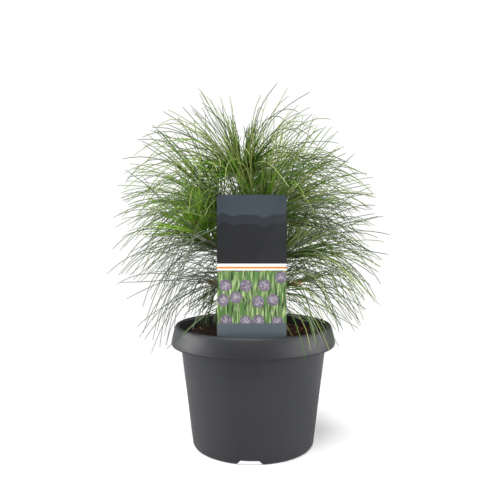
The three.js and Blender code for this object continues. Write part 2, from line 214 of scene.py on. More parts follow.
start_fresh()
bpy.ops.object.camera_add(
    location=[value * MM for value in CAMERA["place"]],
    rotation=(math.radians(90 - CAMERA["down"]), 0, 0),
)
camera = bpy.context.object
camera.data.lens = CAMERA["lens"]
bpy.context.scene.camera = camera
print("from the camera to the pot's foot, in m:", round(camera.location.length, 3))

# %% Floor
FLOOR_LIFT = 0.28  # what lifts the floor towards pure white for the camera, as a cut-out does
FLOOR_SIZE = 30  # metres
# metres from the pot's middle at which the floor is still itself, and at which it is cut out
CUT_OUTS = {"far off": (0.18, 0.3), "under the foot": (0.0672, 0.0665)}

bpy.ops.mesh.primitive_plane_add(size=FLOOR_SIZE)
floor = bpy.context.object
floor.name = "studio_floor"
paper, tree, shader = new_finish("matt studio paper", "#e6e6e6", 0.95, 1.45)
seen = add_node(tree, "LightPath", output="Is Camera Ray")
sheet = add_node(tree, "Mix", {0: seen, 6: "#b0b0b0", 7: "#e6e6e6"}, COLOURS, 2)
tree.links.new(sheet, shader.inputs["Base Color"])
lift = add_node(tree, "MapRange", {"Value": seen, "To Max": FLOOR_LIFT})
shader.inputs["Emission Color"].default_value = (1, 1, 1, 1)
tree.links.new(lift, shader.inputs["Emission Strength"])
place = add_node(tree, "TexCoord", output="Object")
away = add_node(tree, "VectorMath", {0: place}, {"operation": "LENGTH"}, "Value")
edges = [
    add_node(tree, "MapRange", {"Value": away, "From Min": itself, "From Max": cut, "To Max": seen})
    for itself, cut in CUT_OUTS.values()
]
cut_out = add_node(tree, "Math", {0: edges[0], 1: edges[1]}, {"operation": "MAXIMUM"})
white = add_node(tree, "Emission", {"Strength": 1.0})
backdrop = add_node(tree, "MixShader", {0: cut_out, 1: shader.outputs[0], 2: white})
tree.links.new(backdrop, tree.nodes["Material Output"].inputs["Surface"])
floor.data.materials.append(paper)
floor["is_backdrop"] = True
print("nodes in the floor's paper:", len(tree.nodes))

# %% Surround and lamps
SURROUND = 0.25  # what the room gives as light, though the camera sees it as pure white
LAMPS = [
    # name, place in metres, angle of the soft light in degrees, strength
    ("overhead softbox", (-0.35, -0.25, 1.0), 50, 2.6),
    ("front softbox", (0.0, -0.5, 1.0), 16, 1.5),
    ("left strip light", (-1.0, 0.1, 0.08), 34, 3.6),
    ("right side light", (1.0, -0.45, 0.2), 40, 2.2),
    ("right strip light", (1.0, 0.12, 0.05), 26, 1.6),
]

world = bpy.data.worlds.new("white studio")
bpy.context.scene.world = world
world.use_nodes = True
tree = world.node_tree
seen = add_node(tree, "LightPath", output="Is Camera Ray")
strength = add_node(tree, "MapRange", {"Value": seen, "To Min": SURROUND, "To Max": 1.0})
tree.nodes["Background"].inputs["Color"].default_value = (1, 1, 1, 1)
tree.links.new(strength, tree.nodes["Background"].inputs["Strength"])

for name, place, spread, power in LAMPS:
    bpy.ops.object.light_add(type="SUN", location=place)
    lamp = bpy.context.object
    lamp.name = name
    lamp.data.angle = math.radians(spread)
    lamp.data.energy = power
    lamp.rotation_euler = (-lamp.location).to_track_quat("-Z", "Y").to_euler()
bpy.context.scene.view_settings.view_transform = "Standard"
print("lamps:", len(LAMPS))

# %% [markdown]
# ## The pot
#
# A nursery pot is injection moulded in one piece. Its wall tapers so that pots stack and come out of the
# mould, and a collar like a skirt stands round its mouth, which stiffens it and gives the fingers a hold. The
# foot is a ring with three shallow notches that let water run out from the holes in the floor.
#
# A round thing like this could be spun from a profile. Extruding one ring after another is just as quick, and
# it shows what each ring is for. The rings give the radius and the height in millimetres.

# %% The pot's rings
POT_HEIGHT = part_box("pot")[1].z / MM
POT = {"base": 70.2, "taper": 0.1185, "wall": 1.4, "mouth": 86.2, "segments": 144}
FOOT = {"lift": 6, "width": 7, "draft": 1, "round": 3}
COLLAR = {"low": 95, "top": 91, "height": 22.4, "shelf": 2.6, "stiffener": 8}


def body_radius(height):
    return POT["base"] + POT["taper"] * height


def pot_rings():
    """The wall's rings from the underside of the floor, round the outside, to the inside of the floor."""
    shelf = POT_HEIGHT - COLLAR["shelf"]
    collar_low = POT_HEIGHT - COLLAR["height"]
    floor_top = FOOT["lift"] + POT["wall"]
    edge = shelf - COLLAR["stiffener"]
    return [
        # the foot, from its inner wall to its rounded outer corner
        (POT["base"] - FOOT["width"], FOOT["lift"]),
        (POT["base"] - FOOT["width"] + FOOT["draft"], 0),
        (POT["base"] - FOOT["round"], 0),
        (POT["base"] - 0.29 * FOOT["round"], 0.29 * FOOT["round"]),
        (body_radius(FOOT["round"]), FOOT["round"]),
        # the wall, up to the shelf that the collar hangs from
        (body_radius(shelf - 3.2), shelf - 3.2),
        (body_radius(shelf) + 1.2, shelf),
        # the collar's inner face, its lower edge and its outer face
        (COLLAR["top"] - POT["wall"], shelf),
        (COLLAR["low"] - POT["wall"] - 0.6, collar_low + 1.6),
        (COLLAR["low"] - POT["wall"] + 0.2, collar_low),
        (COLLAR["low"] - 0.7, collar_low + 0.2),
        (COLLAR["low"], collar_low + 1.8),
        (COLLAR["low"] - 1.2, collar_low + 8.5),
        (COLLAR["top"] + 0.2, POT_HEIGHT - 3.2),
        # the rim
        (COLLAR["top"] - 1.2, POT_HEIGHT - 0.5),
        (COLLAR["top"] - 2.4, POT_HEIGHT),
        (POT["mouth"] + 1.2, POT_HEIGHT),
        (POT["mouth"] + 0.2, POT_HEIGHT - 0.9),
        # the inside, down to the floor
        (body_radius(edge) - POT["wall"] + 1.2, POT_HEIGHT - 5.5),
        (body_radius(edge) - POT["wall"], edge),
        (body_radius(floor_top) - POT["wall"] - 2, floor_top),
    ]


print("rings in the wall:", len(pot_rings()))

# %% The pot's wall
def extrude_rings(name, rings, segments):
    """Adds a circle and extrudes it from ring to ring. The two open ends are then filled."""
    (radius, height), *others = rings
    start_fresh()
    bpy.ops.mesh.primitive_circle_add(vertices=segments, radius=radius * MM)
    piece = bpy.context.object
    piece.name = name
    bpy.ops.object.mode_set(mode="EDIT")
    bpy.ops.mesh.select_all(action="SELECT")
    bpy.ops.transform.translate(value=(0, 0, height * MM))
    for next_radius, next_height in others:
        step = (0, 0, (next_height - height) * MM)
        bpy.ops.mesh.extrude_region_move(TRANSFORM_OT_translate={"value": step})
        share = next_radius / radius
        bpy.ops.transform.resize(value=(share, share, 1), center_override=(0, 0, next_height * MM))
        radius, height = next_radius, next_height
    bpy.ops.mesh.select_all(action="DESELECT")
    bpy.ops.mesh.select_mode(type="EDGE")
    bpy.ops.mesh.select_non_manifold(extend=False, use_wire=False, use_multi_face=False,
                                     use_non_contiguous=False, use_verts=False)
    bpy.ops.mesh.edge_face_add()
    start_fresh()
    face_outwards(piece)
    return piece


pot = extrude_rings("pot_wall", pot_rings(), POT["segments"])
print("faces in the wall:", len(pot.data.polygons))

# %% [markdown]
# The notches and the drain holes are cut with a Boolean modifier. Each cutter is modelled once, at the front,
# and its copies are turned round the pot's axis. A notch's cutter is a low arch: a block whose top is
# narrower than its foot. Its foot flares out, which rounds the two corners that the pot stands on.

# %% Notches and drain holes
NOTCH = {"count": 3, "turn": -93.3, "foot": 33, "depth": 24, "below": 4}
NOTCH_ARCH = [(0.7, 28.5), (2.0, 25.8), (5.2, 20.0)]  # heights above the ground, and the notch's widths there
DRAIN = {"count": 6, "circle": 48, "radius": 5, "depth": 8}
EDGE = 0.45  # how far the moulded edges are rounded


def copies_round_axis(piece, count, first):
    """Copies of a cutter, each with its own mesh, turned round the pot's axis. The first stands at +X."""
    copies = []
    for i in range(count):
        copied = piece.copy()
        copied.data = piece.data.copy()
        copied.data.transform(Matrix.Rotation(math.radians(first + 360 / count * i), 4, "Z"))
        bpy.context.scene.collection.objects.link(copied)
        copies.append(copied)
    bpy.data.objects.remove(piece)
    return copies


start_fresh()
bpy.ops.mesh.primitive_cube_add(size=1)
notch = bpy.context.object
bpy.ops.object.mode_set(mode="EDIT")
bpy.ops.transform.resize(value=(NOTCH["depth"] * MM, NOTCH["foot"] * MM, NOTCH["below"] * MM))
bpy.ops.transform.translate(value=(POT["base"] * MM, 0, -NOTCH["below"] / 2 * MM))
pick(notch, "FACE", lambda spots: all(spot.z > -MM for spot in spots))
height, width = 0, NOTCH["foot"]
for next_height, next_width in NOTCH_ARCH:
    bpy.ops.mesh.extrude_region_move(TRANSFORM_OT_translate={"value": (0, 0, (next_height - height) * MM)})
    bpy.ops.transform.resize(value=(1, next_width / width, 1), center_override=(0, 0, 0))
    height, width = next_height, next_width
start_fresh()
notches = copies_round_axis(notch, NOTCH["count"], NOTCH["turn"])

bpy.ops.mesh.primitive_cylinder_add(
    vertices=32, radius=DRAIN["radius"] * MM, depth=DRAIN["depth"] * MM,
    location=(DRAIN["circle"] * MM, 0, FOOT["lift"] * MM),
)
drain = bpy.context.object
bpy.ops.object.transform_apply(location=True)
drains = copies_round_axis(drain, DRAIN["count"], NOTCH["turn"])

cutter = join("pot_cutter", notches + drains)
apply_modifier(pot, "BOOLEAN", object=cutter, operation="DIFFERENCE", solver="EXACT", use_self=True)
bpy.data.objects.remove(cutter)
apply_modifier(
    pot, "BEVEL", limit_method="ANGLE", angle_limit=math.radians(28), width=EDGE * MM, segments=2
)
face_outwards(pot)
print("faces after the cuts:", len(pot.data.polygons))

# %% [markdown]
# The plastic is polypropylene with carbon black and some white pigment, which makes it dark grey. It comes
# from a fine-grained mould, so it has a satin look with wide, soft reflections. Real pots also carry faint
# clouds in the grey and fine rub marks from stacking. The grain is about 0.3 mm, too fine to show from here,
# so it is drawn at 0.6 mm. The rub marks run round the pot, so that noise is stretched upwards very little
# and sideways a lot. The collar faces a little upwards, and its grey is painted darker than the wall's, as
# painted shade against the light that falls on it. Inside, above the soil, the crown's shade is painted on the
# wall: nearly black, and matt.

# %% The pot's plastic
COLLAR_SHADE = (116.5, 117.5)  # the height at which the collar's painted shade, a darker grey, begins, and at which it is full
INNER_SHADE_HEIGHTS = (118, 120)  # the same for the painted shade inside the pot, which is only on what lies within the radius below
INNER_SHADE_RADIUS = 86.0
COLLAR_SHADE_SHARE = 0.7  # how far the collar's painted shade goes towards the darkest grey

plastic, tree, shader = new_finish("moulded grey polypropylene", "#252629", 0.42, 1.49)
place = add_node(tree, "TexCoord", output="Object")
clouds = add_node(tree, "TexNoise", {"Vector": place, "Scale": 1 / (45 * MM), "Detail": 3})
greys = add_node(tree, "Mix", {0: clouds, 6: "#2d2e32", 7: "#37383d"}, COLOURS, 2)
stretched = add_node(tree, "Mapping", {"Vector": place, "Scale": (1, 1, 14)})
rubs = add_node(
    tree, "TexNoise", {"Vector": stretched, "Scale": 1 / (30 * MM), "Detail": 6, "Roughness": 0.7}
)
sheen = add_node(
    tree, "MapRange", {"Value": rubs, "From Min": 0.3, "From Max": 0.7, "To Min": 0.44, "To Max": 0.56}
)
flat = add_node(tree, "VectorMath", {0: place, 1: (1, 1, 0)}, {"operation": "MULTIPLY"})
out = add_node(tree, "VectorMath", {0: flat}, {"operation": "LENGTH"}, "Value")
inside = add_node(tree, "Math", {0: out, 1: INNER_SHADE_RADIUS * MM}, {"operation": "LESS_THAN"})
up = add_node(tree, "SeparateXYZ", {0: place}, output="Z")
collar, inner_shade_mask = (
    add_node(tree, "MapRange", {"Value": up, "From Min": low * MM, "From Max": high * MM, "To Max": share})
    for (low, high), share in ((COLLAR_SHADE, COLLAR_SHADE_SHARE), (INNER_SHADE_HEIGHTS, inside))
)
# painted shade: the collar is painted darker than the wall below it, against the light that its upward face
# catches
collar_painted_shade = add_node(tree, "Mix", {0: collar, 6: greys, 7: "#1a1b1e"}, COLOURS, 2)
# painted shade: the inner wall above the soil lies in the crown's shade, which is painted on it as nearly
# black, and made matt
inner_wall_shaded = add_node(tree, "Mix", {0: inner_shade_mask, 6: collar_painted_shade, 7: "#100e0c"}, COLOURS, 2)
tree.links.new(inner_wall_shaded, shader.inputs["Base Color"])
dulled = add_node(tree, "MapRange", {"Value": inner_shade_mask, "To Min": sheen, "To Max": 0.95})
tree.links.new(dulled, shader.inputs["Roughness"])
grain = add_node(tree, "TexNoise", {"Vector": place, "Scale": 1 / (0.6 * MM), "Detail": 2})
relief = add_node(tree, "Bump", {"Height": grain, "Strength": 0.25, "Distance": 0.05 * MM})
tree.links.new(relief, shader.inputs["Normal"])
finish_piece(pot, [plastic], ["pot"], angle=32)

# %% [markdown]
# ## The soil
#
# Potting soil for conifers is peat with composted bark. It fills the pot to a finger's width below the rim.
# The plug is a cylinder whose top is inset again and again, which gives it close rings, and a Displace
# modifier with a cloud texture then makes the rings uneven.

# %% The soil's plug
soil_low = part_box("soil")[0]
SOIL_TOP = 127
SOIL_GAP = 0.3
TOP_ONLY = 0.1  # metres: of the whole plug, only its top lies above this height
INSIDE = {"floor": FOOT["lift"] + POT["wall"], "edge": POT_HEIGHT - COLLAR["shelf"] - COLLAR["stiffener"]}


def inside_radius(height):
    low = body_radius(INSIDE["floor"]) - POT["wall"] - 2
    high = body_radius(INSIDE["edge"]) - POT["wall"]
    share = (height - INSIDE["floor"]) / (INSIDE["edge"] - INSIDE["floor"])
    return low + (high - low) * share


def displace(piece, name, kind, size, strength, **settings):
    """Displaces a piece's surface by a noise. Its size and its strength are in millimetres."""
    noise = bpy.data.textures.new(name, type=kind)
    noise.noise_scale = size * MM
    apply_modifier(piece, "DISPLACE", texture=noise, strength=strength * MM, mid_level=0.5,
                   texture_coords="LOCAL", **settings)
    bpy.data.textures.remove(noise)


SOIL_EDGE = inside_radius(SOIL_TOP) - SOIL_GAP
SOIL_RINGS = 40
soil = extrude_rings(
    "soil_plug",
    [(inside_radius(soil_low.z / MM) - SOIL_GAP, soil_low.z / MM), (SOIL_EDGE, SOIL_TOP)],
    POT["segments"],
)
edit(soil, "FACE")
pick(soil, "FACE", lambda spots: all(spot.z > TOP_ONLY for spot in spots))
for _ in range(SOIL_RINGS):
    bpy.ops.mesh.inset(thickness=SOIL_EDGE / (SOIL_RINGS + 1.5) * MM)
bpy.ops.mesh.poke()
start_fresh()
top_group = soil.vertex_groups.new(name="top")
for vertex in soil.data.vertices:
    out = vertex.co.xy.length / MM
    if vertex.co.z > TOP_ONLY and out < SOIL_EDGE - 0.5:
        top_group.add([vertex.index], 1.0, "REPLACE")
for name, size, strength in (("soil_swells", 26, 3.0), ("soil_lumps", 6, 2.0), ("soil_crumbs", 2.2, 1.3)):
    displace(soil, name, "CLOUDS", size, strength, direction="Z", vertex_group="top")
print("soil rings:", SOIL_RINGS)

# %% [markdown]
# Damp peat is nearly black, with brown fibres. It reflects almost nothing. Noise at two scales, 3 mm for the
# crumbs and 0.9 mm for the fibres, mixes three browns, and the crumbs' noise lifts the surface a little.

# %% The soil's finish
peat, tree, shader = new_finish("damp peat and bark compost", "#241811", 0.95, 1.4)
place = add_node(tree, "TexCoord", output="Object")
crumbs = add_node(tree, "TexNoise", {"Vector": place, "Scale": 1 / (3 * MM), "Detail": 8})
fibres = add_node(tree, "TexNoise", {"Vector": place, "Scale": 1 / (0.9 * MM), "Detail": 4})
browns = add_node(tree, "Mix", {0: crumbs, 6: "#0e0a07", 7: "#2c1e17"}, COLOURS, 2)
streaks = add_node(tree, "MapRange", {"Value": fibres, "From Min": 0.58, "From Max": 0.72})
fibred = add_node(tree, "Mix", {0: streaks, 6: browns, 7: "#4a2f21"}, COLOURS, 2)
tree.links.new(fibred, shader.inputs["Base Color"])
relief = add_node(tree, "Bump", {"Height": crumbs, "Strength": 0.8, "Distance": 1.0 * MM})
tree.links.new(relief, shader.inputs["Normal"])
finish_piece(soil, [peat], ["soil"])

# %% [markdown]
# Chips of bark and coir lie all over the soil, reddish brown against the peat. There are many of them, so
# they are made in code as one mesh: each is a flat block with eight corners moved a little at random, turned
# and laid on the surface. Three browns are dealt out chip by chip, with more of the dark one on the left as
# painted shade for the shadow that lies there. Dry bark has hardly any gloss, and its fibres show as streaks a
# millimetre apart.

# %% Meshes from arrays, and the soil's heights
def mesh_from_arrays(name, points, face_lists, shades):
    """A mesh object from points in millimetres, lists of faces of one size each, and material numbers."""
    corners = np.concatenate([faces.ravel() for faces in face_lists]).astype(np.int32)
    sizes = np.concatenate([np.full(len(faces), faces.shape[1]) for faces in face_lists])
    mesh = bpy.data.meshes.new(name)
    mesh.vertices.add(len(points))
    mesh.vertices.foreach_set("co", (points * MM).astype(np.float32).ravel())
    mesh.loops.add(len(corners))
    mesh.loops.foreach_set("vertex_index", corners)
    mesh.polygons.add(len(sizes))
    mesh.polygons.foreach_set("loop_start", (np.cumsum(sizes) - sizes).astype(np.int32))
    mesh.polygons.foreach_set("material_index", shades.astype(np.int32))
    mesh.update(calc_edges=True)
    piece = bpy.data.objects.new(name, mesh)
    bpy.context.scene.collection.objects.link(piece)
    return piece


def soil_heights(spots):
    """The height of the soil's surface under each place, found by dropping a ray on it."""
    heights = []
    for x, y in spots:
        hit, where, _, _ = soil.ray_cast(Vector((x * MM, y * MM, 0.2)), Vector((0, 0, -1)))
        heights.append(where.z / MM if hit else SOIL_TOP)
    return np.array(heights)


print("the soil's height in the middle, in mm:", soil_heights([(0, 0)]).round(1))

# %% Bark chips
CHIPS = {"count": 1500, "seed": 11, "long": (2.0, 7.0), "wide": (0.9, 3.2), "thick": (0.5, 1.6),
         "lean": (0.25, 0.3), "from_edge": 3, "raised": 0.3, "corners_moved": (-0.3, 0.15)}
CHIP_LENGTHS = {"least": 0.5, "more": 0.6, "power": 0.7}  # each length is cut down to a share of itself
CHIP_SHARES = [0.5, 0.4, 0.1]  # dark, red-brown and pale ones
LEFT_SHADE = {"left_of": -15, "share": 0.8}  # how many chips on the left take the dark brown, as painted shade
BLOCK_CORNERS = np.array([(x, y, z) for x in (-1, 1) for y in (-1, 1) for z in (-1, 1)]) / 2
BLOCK_FACES = np.array([(0, 1, 3, 2), (4, 6, 7, 5), (0, 4, 5, 1), (2, 3, 7, 6), (0, 2, 6, 4), (1, 5, 7, 3)])

dice = np.random.default_rng(CHIPS["seed"])
count = CHIPS["count"]
out = (SOIL_EDGE - CHIPS["from_edge"]) * np.sqrt(dice.random(count))
around = dice.random(count) * 2 * math.pi
spots = np.stack([out * np.cos(around), out * np.sin(around)], axis=1)
sizes = np.stack([dice.uniform(*CHIPS[key], count) for key in ("long", "wide", "thick")], axis=1)
sizes[:, 0] *= dice.random(count) ** CHIP_LENGTHS["power"] * CHIP_LENGTHS["more"] + CHIP_LENGTHS["least"]
yaws = dice.random(count) * 2 * math.pi
pitches, rolls = (dice.normal(0, lean, count) for lean in CHIPS["lean"])
turns = np.array([Euler(angles).to_matrix() for angles in zip(rolls, pitches, yaws)])
corners = BLOCK_CORNERS * (1 + dice.uniform(*CHIPS["corners_moved"], (count, 8, 3)))
corners = np.einsum("nij,nkj->nki", turns, corners * sizes[:, None, :])
corners[:, :, :2] += spots[:, None, :]
corners[:, :, 2] += (soil_heights(spots) + CHIPS["raised"] * sizes[:, 2])[:, None]
faces = (BLOCK_FACES[None] + 8 * np.arange(count)[:, None, None]).reshape(-1, 4)
shades = dice.choice(3, count, p=CHIP_SHARES)
# painted shade: most chips on the left take the dark brown, for the shadow on that side of the soil
shades = np.where((spots[:, 0] < LEFT_SHADE["left_of"]) & (dice.random(count) < LEFT_SHADE["share"]), 0, shades)
chips = mesh_from_arrays("soil_chips", corners.reshape(-1, 3), [faces], np.repeat(shades, len(BLOCK_FACES)))
print("chips of each brown:", np.bincount(shades))

# %% The chips' finishes
def mottled_finish(name, dark, light, size, roughness):
    """A dry skin in two colours that a noise mixes. The noise's size is in millimetres."""
    finish, tree, shader = new_finish(name, dark, roughness, 1.45)
    place = add_node(tree, "TexCoord", output="Object")
    mottling = add_node(tree, "TexNoise", {"Vector": place, "Scale": 1 / (size * MM), "Detail": 3})
    mixed = add_node(tree, "Mix", {0: mottling, 6: dark, 7: light}, COLOURS, 2)
    tree.links.new(mixed, shader.inputs["Base Color"])
    return finish


chip_finishes = [
    mottled_finish("dark composted bark", "#20140e", "#3f2a1e", 1.0, 0.9),
    mottled_finish("red-brown pine bark", "#4a2a1a", "#7c4a2e", 1.0, 0.9),
    mottled_finish("pale coir fibre", "#6b4a30", "#94704a", 1.0, 0.9),
]
finish_piece(chips, chip_finishes, angle=30)

# %% [markdown]
# ## The label
#
# Garden centres push a tall printed card into the soil behind the pot's front rim. It is a plastic sheet 0.8
# mm thick with rounded top corners, and its foot narrows to a spike. A cube of the card's size is extruded
# downwards twice, once for the shoulders and once for the spike, and its corners are bevelled.

# %% The label's card
label_low, label_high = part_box("label")
CARD_FOOT = 129.5
SHOULDER = 5
SPIKE = {"neck": 26, "tip": 5, "length": 58}
ROUNDED = {"corner": 2.5, "edge": 0.12}
card_size = (label_high - label_low) / MM
card_middle = (label_high + label_low) / 2 / MM
plate_low = CARD_FOOT + SHOULDER
plate_height = label_high.z / MM - plate_low

start_fresh()
bpy.ops.mesh.primitive_cube_add(size=1)
label = bpy.context.object
label.name = "label_card"
bpy.ops.object.mode_set(mode="EDIT")
bpy.ops.transform.resize(value=(card_size.x * MM, card_size.y * MM, plate_height * MM))
bpy.ops.transform.translate(
    value=(card_middle.x * MM, card_middle.y * MM, (plate_low + plate_height / 2) * MM)
)
pick(label, "FACE", lambda spots: all(spot.z < (plate_low + 1) * MM for spot in spots))
label_steps = [
    # drop, and width of the new end as a share of the last
    (SHOULDER, (card_size.x - 2 * SHOULDER) / card_size.x),
    (0.02, SPIKE["neck"] / (card_size.x - 2 * SHOULDER)),
    (SPIKE["length"], SPIKE["tip"] / SPIKE["neck"]),
]
height = plate_low
for drop, share in label_steps:
    height -= drop
    bpy.ops.mesh.extrude_region_move(TRANSFORM_OT_translate={"value": (0, 0, -drop * MM)})
    middle = (card_middle.x * MM, card_middle.y * MM, height * MM)
    bpy.ops.transform.resize(value=(share, 1, 1), center_override=middle)
top_corner = label_high.z - 0.1 * MM
pick(label, "EDGE", lambda spots: all(spot.z > top_corner for spot in spots)
     and abs(spots[0].x - spots[1].x) < 0.1 * MM)
bpy.ops.mesh.bevel(offset=ROUNDED["corner"] * MM, segments=6, affect="EDGES")
start_fresh()
apply_modifier(
    label, "BEVEL", limit_method="ANGLE", angle_limit=math.radians(40), width=ROUNDED["edge"] * MM, segments=2
)
face_outwards(label)
print("label faces:", len(label.data.polygons))

# %% [markdown]
# The print is a plain garden design of its own: a slate sky over rolling hills at the top, charcoal below, a
# level white band with an ochre line, a green field of crossing blades with round mauve seed heads, and a
# blue-grey foot. It is drawn with a few patterns on the card's own coordinates in millimetres, so it needs no
# image. The ink lies under a clear varnish, which gives the card its even semi-gloss.

# %% The label's print: bands
PRINT = (128.0, 290.0)  # the heights between which the ramps run
PICTURE_TOP = 210.0

card, tree, shader = new_finish("printed and varnished plastic card", "#35373a", 0.36, 1.5)
place = add_node(tree, "TexCoord", output="Object")
card_mm = add_node(tree, "VectorMath", {0: place, "Scale": 1 / MM}, {"operation": "SCALE"})
up = add_node(tree, "SeparateXYZ", {0: card_mm}, output="Z")


def ramp_of_bands(height, stops):
    """A ramp over the card's height, in level bands with hard edges. A clear band shows what is below."""
    low, high = PRINT
    share = add_node(tree, "MapRange", {"Value": height, "From Min": low, "From Max": high})
    ramp = add_node(tree, "ValToRGB", {"Fac": share}).node
    elements = ramp.color_ramp.elements
    ramp.color_ramp.interpolation = "CONSTANT"
    for i, (level, colour) in enumerate(stops):
        position = (level - low) / (high - low)
        stop = elements[0] if i == 0 else elements.new(position)
        stop.position = position
        stop.color = linear(colour) if colour else (0, 0, 0, 0)
    elements.remove(elements[len(stops)])
    return ramp.outputs


bands = ramp_of_bands(up, [
    (PRINT[0], "#58636a"), (152, None),
    (206.5, "#fbfbfa"), (208.6, "#e8902a"), (210.4, "#fbfbfa"), (214, None),
])
skyline = add_node(tree, "Mapping", {"Vector": card_mm, "Scale": (1 / 26, 0, 0)})
hills = add_node(tree, "TexNoise", {"Vector": skyline, "Scale": 1.0, "Detail": 1})
lifted = add_node(tree, "Math", {0: hills, 1: -34.0, 2: up}, {"operation": "MULTIPLY_ADD"})
night = ramp_of_bands(lifted, [(PRINT[0], "#232427"), (238, "#2e3237"), (247, "#3e4851")])
print("the print's heights, in mm:", PRINT)

# %% The label's print: the field
blades = []
for lean, dense in ((28, 0.5), (-34, 0.42)):
    leaning = add_node(tree, "Mapping", {
        "Vector": card_mm, "Rotation": (0, math.radians(lean), 0), "Scale": (dense, 1, dense / 8)
    })
    streaks = add_node(tree, "TexNoise", {"Vector": leaning, "Scale": 1.0, "Detail": 3})
    blades.append(add_node(tree, "MapRange", {"Value": streaks, "From Min": 0.42, "From Max": 0.58}))
grass = add_node(tree, "Mix", {0: blades[0], 6: "#1e3618", 7: "#b9cf90"}, COLOURS, 2)
crossing = add_node(tree, "Mix", {0: blades[1], 6: grass, 7: "#55803f"}, COLOURS, 2)
laid_flat = add_node(tree, "Mapping", {"Vector": card_mm, "Rotation": (math.radians(-90), 0, 0)})
cells = add_node(
    tree, "TexVoronoi", {"Vector": laid_flat, "Scale": 1 / 19, "Randomness": 0.6},
    {"voronoi_dimensions": "2D"},
)
heads = add_node(tree, "MapRange", {"Value": cells, "From Min": 0.35, "From Max": 0.32})
florets = add_node(tree, "TexVoronoi", {"Vector": card_mm, "Scale": 1 / 1.8})
rounded = add_node(tree, "Math", {0: cells, 1: 1.6, 2: florets}, {"operation": "MULTIPLY_ADD"})
mauve = add_node(tree, "Mix", {0: rounded, 6: "#d8d0d8", 7: "#6e6476"}, COLOURS, 2)
field = add_node(tree, "Mix", {0: heads, 6: crossing, 7: mauve}, COLOURS, 2)
is_top = add_node(tree, "Math", {0: up, 1: PICTURE_TOP}, {"operation": "GREATER_THAN"})
picture = add_node(tree, "Mix", {0: is_top, 6: field, 7: night["Color"]}, COLOURS, 2)
printed = add_node(tree, "Mix", {0: bands["Alpha"], 6: picture, 7: bands["Color"]}, COLOURS, 2)
tree.links.new(printed, shader.inputs["Base Color"])
print("nodes in the print:", len(tree.nodes))

# %% The label's varnish
scuffs = add_node(tree, "TexNoise", {"Vector": place, "Scale": 1 / (12 * MM), "Detail": 6})
gloss = add_node(tree, "MapRange", {"Value": scuffs, "To Min": 0.28, "To Max": 0.42})
tree.links.new(gloss, shader.inputs["Roughness"])
finish_piece(label, [card], ["label"], angle=30)

# %% [markdown]
# ## Trunk and boughs
#
# The pine is three or four years old, so its trunk is only a centimetre thick. It widens where it meets the
# soil, and thin bark has begun to crack into small plates. Three whorls of boughs leave it, one for each
# year. The lines of trunk and boughs are the same curves as in the source: each is a quadratic curve of three
# points, given in millimetres.

# %% The plant's measures
CROWN_AXIS = np.array([-6.0, -5.0])
TRUNK = {"foot": (4, -3), "tip": (-7, -6), "tip_height": 274, "foot_radius": 5.6, "tip_radius": 3.4,
         "bend": 0.4}
FLARE = {"radius": 4.2, "fade": 7}
BOUGH = {"radius": 2.9, "share": 0.42}
STEM_RADIUS = 2.3

# the surfaces between two rings of shoots: drooping cones, by the height of the tip and the slope
MEAN_SAG = 0.0028
HIGH_CONE = (282, 0.85)
MIDDLE_CONE = (240, 0.4)
LOW_CONE = (208, 0.12)
WHORLS = [
    {"ring": "upper", "over": MIDDLE_CONE, "under": HIGH_CONE, "count": 4, "bearing": 195, "height": 242,
     "stagger": 5, "rise": 38, "bend": 8, "reach": 46, "needles": 35, "needle_length": 116},
    {"ring": "middle", "over": LOW_CONE, "under": MIDDLE_CONE, "count": 4, "bearing": 216, "height": 216,
     "stagger": 5, "rise": 18, "bend": 12, "reach": 56, "needles": 36, "needle_length": 106},
    {"ring": "lower", "over": None, "under": LOW_CONE, "count": 4, "bearing": 185, "height": 190,
     "stagger": 5, "rise": 0, "bend": 8, "reach": 46, "needles": 32, "needle_length": 102},
]
LEADER = {"ring": "top", "over": HIGH_CONE, "under": None, "reach": 44, "needles": 62, "needle_length": 130}


print("boughs:", sum(whorl["count"] for whorl in WHORLS))

# %% Curves
def pointing(bearing, rise=0.0):
    turn, lift = math.radians(bearing), math.radians(rise)
    return np.array([math.cos(turn) * math.cos(lift), math.sin(turn) * math.cos(lift), math.sin(lift)])


def on_curve(curve, share):
    """Places on a quadratic curve at shares of it."""
    share = np.atleast_1d(share)[:, None]
    start, middle, end = curve
    return start * (1 - share) ** 2 + middle * 2 * share * (1 - share) + end * share**2


def along_curve(curve, share):
    """Unit tangents of a quadratic curve at shares of it."""
    share = np.atleast_1d(share)[:, None]
    start, middle, end = curve
    tangent = (middle - start) * (1 - share) + (end - middle) * share
    return tangent / np.linalg.norm(tangent, axis=1, keepdims=True)


def split_curve(curve, share):
    """The two parts of a quadratic curve, before and after a share of it."""
    start, middle, end = curve
    cut = on_curve(curve, share)[0]
    before = np.array([start, start + (middle - start) * share, cut])
    return before, np.array([cut, middle + (end - middle) * share, end])


print("straight up is", pointing(0, 90).round(3))

# %% The plant's lines
foot = np.array([*TRUNK["foot"], SOIL_TOP + SOIL_GAP])
tip = np.array([*TRUNK["tip"], TRUNK["tip_height"]])
rising = foot + [0, 0, TRUNK["bend"] * (tip[2] - foot[2])]
trunk_curve = np.array([foot, rising, tip])


def trunk_radius(share):
    height = share * (tip[2] - foot[2])
    plain = TRUNK["foot_radius"] + (TRUNK["tip_radius"] - TRUNK["foot_radius"]) * share
    return plain + FLARE["radius"] * np.exp(-height / FLARE["fade"])


